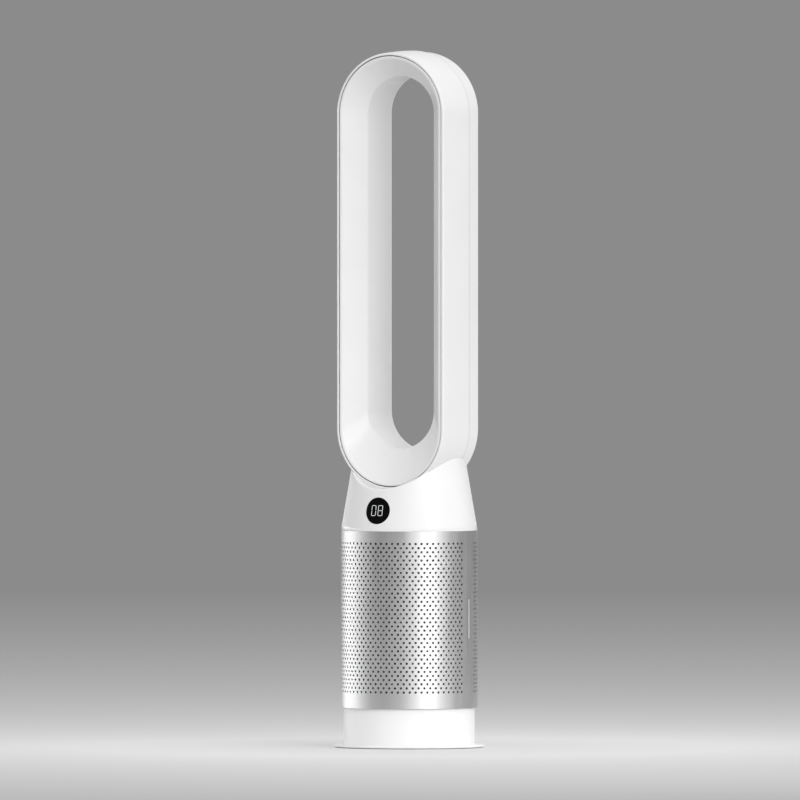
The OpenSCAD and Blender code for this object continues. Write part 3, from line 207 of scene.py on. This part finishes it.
def add_piece(name, points, faces, slot, body, replaced=(), material=None, smooth=True):
    """A mesh piece in millimetres that rides on a body and may stand for CAD nodes."""
    mesh = bpy.data.meshes.new(name)
    mesh.from_pydata([Vector(p) * MM for p in points], [], faces)
    work = bmesh.new()
    work.from_mesh(mesh)
    bmesh.ops.recalc_face_normals(work, faces=work.faces)
    work.to_mesh(mesh)
    work.free()
    if smooth:
        mesh.shade_smooth()
        mesh.set_sharp_from_angle(angle=sharp_angle)
    piece = bpy.data.objects.new(name, mesh)
    bpy.context.scene.collection.objects.link(piece)
    mesh.materials.append(material or MATERIALS[slot])
    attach(piece, body)
    if replaced:
        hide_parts(*replaced)
    return piece


def ring_faces(count, size, joined_rings=True):
    """Quads between neighbouring closed rings of equal size."""
    return [
        (i * size + j, i * size + (j + 1) % size,
         (i + 1) % count * size + (j + 1) % size, (i + 1) % count * size + j)
        for i in range(count if joined_rings else count - 1)
        for j in range(size)
    ]


def smooth_step(value):
    """A smooth rise from 0 to 1."""
    t = min(1.0, max(0.0, value))
    return t * t * (3 - 2 * t)


def arc_points(centre, radius, start, end, steps):
    """Points on a circular arc in degrees, both ends included."""
    return [
        (centre[0] + radius * math.cos(math.radians(start + (end - start) * i / steps)),
         centre[1] + radius * math.sin(math.radians(start + (end - start) * i / steps)))
        for i in range(steps + 1)
    ]


def cut_hole(piece, centre, normal, radius, depth):
    """Cuts a round hole in a piece, with a cutter that isn't kept."""
    bpy.ops.mesh.primitive_cylinder_add(vertices=hole_sides, radius=radius * MM, depth=depth * MM,
                                        location=centre * MM)
    cutter = bpy.context.object
    cutter.rotation_euler = normal.to_track_quat("Z", "X").to_euler()
    modifier = piece.modifiers.new("hole", "BOOLEAN")
    modifier.operation = "DIFFERENCE"
    modifier.solver = "EXACT"
    modifier.object = cutter
    whole = piece.data
    evaluated = piece.evaluated_get(bpy.context.evaluated_depsgraph_get())
    cut = bpy.data.meshes.new_from_object(evaluated)
    piece.modifiers.clear()
    piece.data = cut
    bpy.data.objects.remove(cutter)
    bpy.data.meshes.remove(whole)
    cut.set_sharp_from_angle(angle=sharp_angle)


# The loop

arc_steps = 72
lip_w = 3.6
slot_w = 1.2
round_w = 1.9
round_d = 3.2


def barrel_r(y):
    """Outer radius of the loop at a depth, with the faint crease behind its fullest line."""
    bulge_y, crease_y, rear_y, rear_r = 12.0, 14.0, 45.0, 92.6
    if y <= crease_y:
        return bulge_r - (bulge_r - rim_r) * ((bulge_y - y) / (bulge_y + loop_front)) ** 2
    step, step_end = 1.2, 20.0
    share = (y - crease_y) / (rear_y - crease_y)
    fall = step * smooth_step((y - crease_y) / (step_end - crease_y))
    return bulge_r - fall - (bulge_r - step - rear_r) * share


def shell_r(y):
    """Outer radius of the loop with its rounded front edge, kept at its least value in front of it."""
    first = round_d - loop_front
    if y >= first:
        return barrel_r(y)
    t = min(1.0, (first - y) / round_d)
    return barrel_r(first) - round_w * (1 - math.sqrt(1 - t * t))


def stadium(section):
    """Rings of a section of (radius, depth, rise share) carried round the loop, upper arc first."""
    rings = []
    for upper in (True, False):
        for i in range(arc_steps + 1):
            a = math.pi * i / arc_steps + (0 if upper else math.pi)
            for r, y, rise in section:
                centre = upper_arc_z if upper else lower_arc_z + opening_rise * rise
                rings.append((r * math.cos(a), y, centre + r * math.sin(a)))
    return rings, 2 * (arc_steps + 1)


def outer_section():
    """The outer shell: front lip, barrel, rear corner and flat back, and its inside."""
    wall, corner, edge_r, plate_in = 2.4, 8.0, 0.6, 61.5
    lip_in, front = rim_r - lip_w, -loop_front
    first, last, barrel_steps = front + round_d, loop_back - corner, 52
    shoulder, rear_r = barrel_r(first), barrel_r(last)
    flat_r = rear_r - corner
    points = [(lip_in, front + 2 * edge_r, 0)]
    points += [(r, y, 0) for r, y in arc_points((lip_in + edge_r, front + edge_r), edge_r, 180, 270, 4)]
    points += [(shoulder - round_w + round_w * r, first + round_d * y, 0)
               for r, y in arc_points((0, 0), 1, 272, 352, 8)]
    for i in range(barrel_steps + 1):
        y = first + (last - first) * i / barrel_steps
        points.append((barrel_r(y), y, 0))
    points += [(r, y, 0) for r, y in arc_points((flat_r, last), corner, 8, 90, 9)]
    for i in range(1, 6):
        share = i / 6
        points.append((flat_r + (plate_in + edge_r - flat_r) * share, loop_back, share))
    points += [(r, y, 1) for r, y in arc_points((plate_in + edge_r, loop_back - edge_r), edge_r, 90, 180, 4)]
    points.append((plate_in, loop_back - wall, 1))
    points.append((flat_r, loop_back - wall, 0))
    points += [(r, y, 0) for r, y in arc_points((flat_r, last), corner - wall, 80, 0, 4)]
    for i in range(6, -1, -1):
        y = first + wall + (last - first - wall) * i / 6
        points.append((barrel_r(y) - wall, y, 0))
    points.append((lip_in, front + wall, 0))
    return points


def inner_section():
    """The inner shell: rounded lip, straight funnel, crease, throat and flared tail, and its back."""
    front, wall, slot_r = -loop_front, 2.0, rim_r - lip_w - slot_w
    lip_r, lip_y, lip_round = 81.5, front + 2.7, 1.3
    crease_r, crease_y = 57.0, -26.0
    throat_r, throat_y = 55.5, 5.0
    tail_r, tail_round, tail_out, tail_y = 59.6, 1.4, 61.2, loop_back - 3.0
    points = [(slot_r, front + 3.0, 0)]
    points += [(r, y, 0) for r, y in arc_points((slot_r - lip_round, front + 1.4), lip_round, 0, -90, 6)]
    points += [(r, front + y, 0) for r, y in ((84.6, 0.35), (83.2, 0.95), (82.3, 1.75))]
    points.append((lip_r, lip_y, 0))
    funnel_steps, throat_steps = 14, 8
    for i in range(1, funnel_steps):
        share = i / funnel_steps
        points.append((lip_r + (crease_r - lip_r) * share, lip_y + (crease_y - lip_y) * share, share))
    points += [(crease_r + 0.25, crease_y - 0.3, 1), (crease_r - 0.12, crease_y + 0.5, 1)]
    for start_y, end_y, wide_r in ((crease_y, throat_y, crease_r), (throat_y, tail_y, tail_r)):
        for i in range(1, throat_steps + 1):
            y = start_y + (end_y - start_y) * i / throat_steps
            share = abs(y - throat_y) / (end_y - start_y)
            points.append((throat_r + (wide_r - throat_r) * share ** 2, y, 1))
    tail_centre = (tail_r + tail_round, loop_back - tail_round)
    points += [(r, y, 1) for r, y in arc_points(tail_centre, tail_round, 172, 90, 6)]
    points += [(tail_out, loop_back - 0.2, 1), (tail_out, loop_back - 2.4, 1), (61.1, loop_back - 4.5, 1)]
    points += [(60.2, 44.0, 1), (throat_r + wall, throat_y, 1), (crease_r + wall, crease_y + 1.4, 1)]
    points += [(lip_r + 1.6, lip_y + 2.9, 0), (slot_r, front + 4.6, 0)]
    return points


def make_loop():
    """Both shells of the loop, each one smooth closed band."""
    for name, section, node in (("loop_outer_skin", outer_section(), "loop_outer_shell"),
                                ("loop_inner_skin", inner_section(), "loop_inner_shell")):
        points, count = stadium(section)
        add_piece(name, points, ring_faces(count, len(section)), "white_plastic", "turret", (node,))


# The neck

neck_steps = 240
foot_round = 0.25
power_hole_r = 7.4
power_hole_depth = 12.0


def neck_r(z):
    """Radius of the neck's cone at a height."""
    return neck_foot_r - neck_taper * (z - neck_z0)


def saddle_z(x, y):
    """Height of the saddle that the loop lies in."""
    r = shell_r(y) + seat_gap if y < loop_back else rim_r
    return lower_arc_z - math.sqrt(max(r * r - x * x, 1.0))


def neck_edge(a):
    """Height at which the cone meets the saddle, at an angle from the front, found by closing in."""
    z, rounds, share = lower_arc_z - rim_r, 60, 0.4
    for _ in range(rounds):
        r = neck_r(z)
        z = (1 - share) * z + share * saddle_z(r * math.sin(a), -r * math.cos(a))
    return z


def neck_ring(a):
    """The closed section of the neck at an angle: foot, wall, rounded edge, saddle and inside."""
    sin_a, cos_a = math.sin(a), math.cos(a)
    wall, hole_r, inside_w = 2.6, 50.0, 4
    roll_least, roll_more, roll_start, roll_reach = 0.7, 2.9, 2, 16
    wall_rows, bend_rows, saddle_rows, inside_rows = 10, 6, 12, 6

    def on_cone(z, inset=0.0):
        r = neck_r(z) - inset
        return Vector((r * sin_a, -r * cos_a, z))

    def on_saddle(r, drop=0.0):
        x, y = r * sin_a, -r * cos_a
        return Vector((x, y, saddle_z(x, y) - drop))

    top = neck_edge(a)
    edge = on_cone(top)
    roll = roll_least + roll_more * smooth_step((abs(edge.y) - loop_back - roll_start) / roll_reach)
    low = on_cone(top - roll)
    saddle_r = neck_r(top) - roll
    inward = on_saddle(saddle_r)
    foot_z = neck_z0 + foot_round
    points = [on_cone(neck_z0, foot_round), on_cone(neck_z0 + foot_round * 0.3, foot_round * 0.3),
              on_cone(foot_z)]
    for i in range(1, wall_rows + 1):
        share = i / wall_rows
        points.append(on_cone(foot_z * (1 - share) + (top - roll) * share))
    for i in range(1, bend_rows):
        t = i / bend_rows
        points.append(low * (1 - t) ** 2 + edge * 2 * t * (1 - t) + inward * t * t)
    for i in range(saddle_rows + 1):
        points.append(on_saddle(saddle_r + (hole_r - saddle_r) * i / saddle_rows))
    for i in range(inside_rows, -1, -1):
        share = i / inside_rows
        points.append(on_saddle(saddle_r - inside_w + (hole_r - saddle_r + inside_w) * share, wall))
    points += [on_cone(z, wall) for z in (points[-1].z - 1.0, foot_z, neck_z0)]
    return points


def make_neck():
    """The white cone under the loop, with its rounded saddle edge and the rear button's hole."""
    rings = [neck_ring(2 * math.pi * i / neck_steps) for i in range(neck_steps)]
    neck = add_piece("neck_skin", [p for ring in rings for p in ring], ring_faces(neck_steps, len(rings[0])),
                     "white_plastic", "turret", ("neck_housing",))
    cut_hole(neck, Vector((0, neck_r(display_z), display_z)),
             Vector((0, math.cos(neck_angle), math.sin(neck_angle))), power_hole_r, power_hole_depth)


# The display

lens_r = 20.4
lens_lift = 0.25
lens_depth = 1.9
lens_steps = 96


def on_display(u, v, lift):
    """A point in the display's plane, u to the right and v up, bent to the neck's cone."""
    normal = Vector((0, -math.cos(neck_angle), math.sin(neck_angle)))
    up = Vector((0, math.sin(neck_angle), math.cos(neck_angle)))
    r = neck_r(display_z)
    sag = r - math.sqrt(r * r - u * u)
    return Vector((u, -r, display_z)) + up * v + normal * (lift - sag)


def make_lens():
    """The black glass disc, a hair proud of the neck with a soft edge."""
    rings = [(lens_r - 0.9, -lens_depth), (lens_r - 0.1, -1.7), (lens_r, -0.2), (lens_r - 0.06, 0.1),
             (lens_r - 0.25, 0.2), (lens_r - 0.6, lens_lift)]
    rings += [(lens_r * share, lens_lift) for share in (0.9, 0.75, 0.6, 0.45, 0.3, 0.15)]
    points = [on_display(r * math.cos(a), r * math.sin(a), lift)
              for r, lift in rings
              for a in (2 * math.pi * i / lens_steps for i in range(lens_steps))]
    faces = ring_faces(len(rings), lens_steps, joined_rings=False)
    points += [on_display(0, 0, lens_lift), on_display(0, 0, -lens_depth)]
    top, bottom, last = len(points) - 2, len(points) - 1, (len(rings) - 1) * lens_steps
    faces += [(last + i, last + (i + 1) % lens_steps, top) for i in range(lens_steps)]
    faces += [((i + 1) % lens_steps, i, bottom) for i in range(lens_steps)]
    add_piece("display_glass", points, faces, "display_black", "turret", ("display_lens",))


SEGMENTS = {
    "top": ((0, 1), (1, 1)),
    "middle": ((0, 0.5), (1, 0.5)),
    "bottom": ((0, 0), (1, 0)),
    "upper_left": ((0, 0.5), (0, 1)),
    "lower_left": ((0, 0), (0, 0.5)),
    "upper_right": ((1, 0.5), (1, 1)),
    "lower_right": ((1, 0), (1, 0.5)),
}
DIGITS = {
    "0": ("top", "bottom", "upper_left", "lower_left", "upper_right", "lower_right"),
    "8": tuple(SEGMENTS),
}
shown_digits = "08"
digit_w = 7.0
digit_h = 15.4
digit_pitch = 11.2
digit_shift = -0.6
digit_rise = 0.35
digit_slant = 0.02
stroke_w = 0.75
stroke_gap = 0.3
stroke_lifts = (0.27, 0.33)


def stroke_outline(start, end):
    """Outline of a stroke with pointed ends between two corners of a digit."""
    direction = (end - start).normalized()
    across = Vector((-direction.y, direction.x))
    a, b = start + direction * stroke_gap, end - direction * stroke_gap
    half = stroke_w / 2
    return [a, a + (direction + across) * half, b + (across - direction) * half, b,
            b - (direction + across) * half, a + (direction - across) * half]


def add_stroke(outline, points, faces):
    """Adds a stroke's closed prism, which follows the glass, to the digits' mesh."""
    base, count = len(points), len(outline)
    for lift in stroke_lifts:
        points += [on_display(p.x + digit_slant * p.y, p.y, lift) for p in outline]
    faces.append(tuple(base + i for i in range(count)))
    faces.append(tuple(base + count + i for i in range(count)))
    faces += [(base + i, base + (i + 1) % count, base + count + (i + 1) % count, base + count + i)
              for i in range(count)]


def make_digits():
    """The display's two digits, lit strokes that follow the glass."""
    points, faces = [], []
    for place, digit in enumerate(shown_digits):
        origin = Vector((digit_shift - digit_pitch / 2 - digit_w / 2 + digit_pitch * place,
                         digit_rise - digit_h / 2))
        for name in DIGITS[digit]:
            start, end = (origin + Vector((x * digit_w, y * digit_h)) for x, y in SEGMENTS[name])
            add_stroke(stroke_outline(start, end), points, faces)
    add_piece("display_digits", points, faces, "display_black", "turret", material=digit_light, smooth=False)


# The perforated drum

hole_rows = 37
hole_columns = 33
hole_r = 1.8
row_pitch = 6.208
first_row_z = 85.2
column_angle = math.radians(4.965)
sheet_t = 1.0
lower_split = 12
upper_split = 8
strip_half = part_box("right_side_strip")[1][1] / MM
seam_angle = math.pi / 2 - math.asin((strip_half + seam_gap) / drum_r)
CELL_BORDER = ((1, 0), (1, 1), (0.5, 1), (0, 1), (-0.5, 1), (-1, 1), (-1, 0), (-1, -1), (-0.5, -1), (0, -1),
               (0.5, -1), (1, -1))


class Sheet:
    """A bent sheet with two faces that share a grid of points, welded by their place."""

    def __init__(self, turn):
        self.turn = turn
        self.places = {}
        self.points = []
        self.faces = []

    def point(self, a, z, inside):
        """Index of the point at an angle from the middle and a height, on one face."""
        key = (round(a * 1e5), round(z * 1e3), inside)
        if key not in self.places:
            r = drum_r - sheet_t if inside else drum_r
            self.places[key] = len(self.points)
            self.points.append((r * math.sin(a) * self.turn, -r * math.cos(a) * self.turn, z))
        return self.places[key]

    def patch(self, corners):
        """The same polygon on both faces, given as (angle, height) places."""
        self.faces.append(tuple(self.point(a, z, False) for a, z in corners))
        self.faces.append(tuple(self.point(a, z, True) for a, z in reversed(corners)))

    def wall(self, path):
        """Quads through the sheet's thickness along a closed path."""
        for (a0, z0), (a1, z1) in zip(path, path[1:] + path[:1]):
            self.faces.append((self.point(a0, z0, False), self.point(a1, z1, False),
                               self.point(a1, z1, True), self.point(a0, z0, True)))


def hole_cell(sheet, a, z):
    """One cell with a round hole, its border shared with the cells around it."""
    w, h, count = column_angle / 2, row_pitch / 2, len(CELL_BORDER)
    outer = [(a + u * w, z + v * h) for u, v in CELL_BORDER]
    turns = [2 * math.pi / count * i for i in range(count)]
    inner = [(a + hole_r / drum_r * math.cos(t), z + hole_r * math.sin(t)) for t in turns]
    for i in range(count):
        j = (i + 1) % count
        sheet.patch([outer[i], outer[j], inner[j], inner[i]])
    sheet.wall(list(reversed(inner)))


def plain_cells(sheet, angles, heights):
    """Plain quads over a grid of angles and heights."""
    for a0, a1 in zip(angles, angles[1:]):
        for z0, z1 in zip(heights, heights[1:]):
            sheet.patch([(a0, z0), (a1, z0), (a1, z1), (a0, z1)])


def hole_row(sheet, z, odd, zone):
    """A row of hole cells, with half cells at both ends of every other row."""
    w, h = column_angle / 2, row_pitch / 2
    for i in range(hole_columns - odd):
        hole_cell(sheet, -zone + w + odd * w + column_angle * i, z)
    if odd:
        for edge, inward in ((-zone, 1), (zone, -1)):
            plain_cells(sheet, sorted([edge, edge + inward * w / 2, edge + inward * w]), [z - h, z, z + h])


def make_shroud(name, node, turn):
    """A half shell with its 37 staggered rows of holes."""
    sheet = Sheet(turn)
    w, h = column_angle / 2, row_pitch / 2
    zone = column_angle * hole_columns / 2
    rows_z = [first_row_z + row_pitch * k for k in range(hole_rows)]
    for k, z in enumerate(rows_z):
        hole_row(sheet, z, k % 2, zone)
    low, high = rows_z[0] - h, rows_z[-1] + h
    side = [zone + (seam_angle - zone) * i / 3 for i in range(4)]
    quarter = [-zone + w / 2 * i for i in range(hole_columns * 4 + 1)]
    angles = [-a for a in reversed(side[1:])] + quarter + side[1:]
    lower_levels = [drum_z0, drum_z0 + lower_split, low]
    upper_levels = [high, high + upper_split, drum_z1]
    heights = [low + h * i for i in range(2 * hole_rows + 1)]
    plain_cells(sheet, angles, lower_levels)
    plain_cells(sheet, angles, upper_levels)
    plain_cells(sheet, side, heights)
    plain_cells(sheet, [-a for a in reversed(side)], heights)
    edge = lower_levels[:-1] + heights + upper_levels[1:]
    up, down = edge[:-1], reversed(edge[1:])
    sheet.wall([(a, drum_z0) for a in angles[:-1]] + [(seam_angle, z) for z in up]
               + [(a, drum_z1) for a in reversed(angles[1:])] + [(-seam_angle, z) for z in down])
    add_piece(name, sheet.points, sheet.faces, "silver_sheet", node, (node,))


# Dressing of the CAD nodes

def dress_nodes():
    """Gives every CAD node the material of its slot. The plain base gets a lighter copy of the white
    plastic, with the strong light that falls on it near the floor painted in.
    """
    slots = {s["node"]: s["material_slot"] for s in frame["record"]["subparts"]}
    for node, obj in frame["nodes"].items():
        mat = base_white_painted_lighter if node in BASE_NODES else MATERIALS[slots[node]]
        if not obj.data.materials:
            obj.data.materials.append(mat)
        for i in range(len(obj.data.materials)):
            obj.data.materials[i] = mat


# Camera

view_azimuth = math.radians(29.4)
view_elevation = math.radians(1.0)
camera_distance = 45.0
clip_end = 600
frame_width = 1.206
look_height = 0.5236
look_side = -0.01395


def sight(azimuth, elevation):
    """Unit vector from the object towards a viewer at an azimuth and elevation."""
    return Vector((math.sin(azimuth) * math.cos(elevation), -math.cos(azimuth) * math.cos(elevation),
                   math.sin(elevation)))


def aim_at(thing, target, offset):
    """Places a camera or light at an offset from a target and turns it to face that target."""
    thing.location = target + offset
    thing.rotation_euler = (target - thing.location).to_track_quat("-Z", "Y").to_euler()


def make_camera():
    """A long lens at the photograph's angle, aimed at the middle of its frame."""
    data = bpy.data.cameras.new("camera")
    data.lens = data.sensor_width * camera_distance / frame_width
    data.clip_end = clip_end
    camera = bpy.data.objects.new("camera", data)
    bpy.context.scene.collection.objects.link(camera)
    right = Vector((math.cos(view_azimuth), math.sin(view_azimuth), 0))
    target = right * look_side + Vector((0, 0, look_height))
    aim_at(camera, target, sight(view_azimuth, view_elevation) * camera_distance)
    bpy.context.scene.camera = camera


# Studio

# Light from the surround by angle round the object, from the camera's side and positive to its right
LOW_PANELS = [(-180, 1.0), (-152, 1.2), (-135, 7.0), (-110, 6.8), (-90, 3.4), (-75, 1.3), (-55, 0.15),
              (-30, 0.15), (-10, 0.35), (5, 1.3), (20, 2.3), (32, 4.2), (45, 2.7), (58, 1.0), (72, 0.1),
              (88, 0.05), (110, 0.1), (140, 0.3), (165, 0.9), (180, 1.0)]
HIGH_PANELS = [(-180, 0.6), (-150, 0.4), (-90, 0.5), (-45, 0.4), (-15, 0.75), (10, 2.6), (32, 4.9),
               (48, 3.5), (70, 1.7), (90, 1.1), (130, 0.5), (180, 0.7)]
brightest = 7.0
tent_strength = 6.8
zenith_light = 0.9
far_shade = 0.25

# Bands of height, as sines of the elevation, over which one part of the tent passes into the next
horizon_band = (0.0, 0.004)
high_band = (0.02, 0.09)
zenith_band = (0.22, 0.6)

# The floor's painted pool of light: its grey fades by the logarithm of the distance, up to 10 m from the
# object, from pale near the object to a darker grey far off
floor_size = 500
floor_near = (0.35, 0.82)
floor_far = (1.0, 0.28)
fade_scale = 10.0
fade_base = 100.0

# Bright panes: azimuth from the camera and elevation in degrees, size in metres and power in watts
pane_distance = 2.5
pane_target = (-0.07, -0.04, 0.46)
PANES = {
    "lower_pane": (21, 22.5, (0.4, 0.08), 2.8),
    "upper_pane": (15, 30, (0.3, 0.05), 1.2),
}


def math_node(tree, operation, first, second):
    """The output of a math node over two values or sockets."""
    node = tree.nodes.new("ShaderNodeMath")
    node.operation = operation
    for socket, value in zip(node.inputs, (first, second)):
        if isinstance(value, (int, float)):
            socket.default_value = value
        else:
            tree.links.new(value, socket)
    return node.outputs[0]


def along(tree, vector, axis):
    """How far a vector reaches along a fixed axis."""
    node = tree.nodes.new("ShaderNodeVectorMath")
    node.operation = "DOT_PRODUCT"
    tree.links.new(vector, node.inputs[0])
    node.inputs[1].default_value = axis
    return node.outputs["Value"]


def blended(tree, value, band, below, above):
    """A colour that passes from one socket to another colour as a value rises through a band."""
    mix = tree.nodes.new("ShaderNodeMix")
    mix.data_type = "RGBA"
    colours = [socket for socket in mix.inputs if socket.type == "RGBA"]
    tree.links.new(ramp(tree, value, [(band[0], grey(0.0)), (band[1], grey(1.0))]), mix.inputs[0])
    for socket, colour in zip(colours, (below, above)):
        if isinstance(colour, tuple):
            socket.default_value = (*colour, 1)
        else:
            tree.links.new(colour, socket)
    return next(socket for socket in mix.outputs if socket.type == "RGBA")


def make_world():
    """A light tent: pale panels with soft edges round the object, and an even ceiling."""
    world = bpy.data.worlds.new("studio")
    world.use_nodes = True
    tree = world.node_tree
    direction = tree.nodes.new("ShaderNodeTexCoord").outputs["Generated"]
    to_camera = along(tree, direction, sight(view_azimuth, 0))
    to_right = along(tree, direction, sight(view_azimuth + math.pi / 2, 0))
    angle = math_node(tree, "ARCTAN2", to_right, to_camera)
    place = math_node(tree, "ADD", math_node(tree, "DIVIDE", angle, 2 * math.pi), 0.5)
    height = along(tree, direction, (0, 0, 1))
    low, high = (ramp(tree, place, [((a + 180) / 360, grey(light / brightest)) for a, light in panels])
                 for panels in (LOW_PANELS, HIGH_PANELS))
    horizon = blended(tree, height, horizon_band, grey(far_shade / brightest), low)
    sides = blended(tree, height, high_band, horizon, high)
    shade = blended(tree, height, zenith_band, sides, grey(zenith_light / brightest))
    tree.links.new(shade, tree.nodes["Background"].inputs["Color"])
    tree.nodes["Background"].inputs["Strength"].default_value = tent_strength
    bpy.context.scene.world = world


def floor_material():
    """Pale matt floor with a painted pool of light, which falls off to grey far from the object."""
    mat, tree, shader, coords = new_material("pale_floor")
    length = tree.nodes.new("ShaderNodeVectorMath")
    length.operation = "LENGTH"
    tree.links.new(coords, length.inputs[0])
    scaled = math_node(tree, "MULTIPLY", length.outputs["Value"], fade_scale)
    reach = math_node(tree, "LOGARITHM", scaled, fade_base)
    # Painted pool of light: pale round the object, darker grey further away
    fade = ramp(tree, reach, [(place, grey(value)) for place, value in (floor_near, floor_far)])
    tree.links.new(fade, shader.inputs["Base Color"])
    shader.inputs["Roughness"].default_value = 0.8
    shader.inputs["Specular IOR Level"].default_value = 0.0
    return mat


def make_pane(name, azimuth, elevation, size, power):
    """A small bright pane whose reflection shows how glossy the plastic is."""
    data = bpy.data.lights.new(name, "AREA")
    data.shape = "RECTANGLE"
    data.size, data.size_y = size
    data.energy = power
    light = bpy.data.objects.new(name, data)
    bpy.context.scene.collection.objects.link(light)
    side = sight(view_azimuth + math.radians(azimuth), math.radians(elevation))
    aim_at(light, Vector(pane_target), side * pane_distance)


def make_studio():
    """Pale floor, the light tent and two bright panes."""
    bpy.ops.mesh.primitive_plane_add(size=floor_size, location=(0, 0, 0))
    floor = bpy.context.object
    floor.name = "floor"
    floor.data.materials.append(floor_material())
    make_world()
    for name, values in PANES.items():
        make_pane(name, *values)
    bpy.context.scene.view_settings.view_transform = "Standard"


make_camera()
make_studio()
dress_nodes()
make_loop()
make_neck()
make_lens()
make_digits()
make_shroud("front_sheet", "front_shroud", 1)
make_shroud("rear_sheet", "rear_shroud", -1)
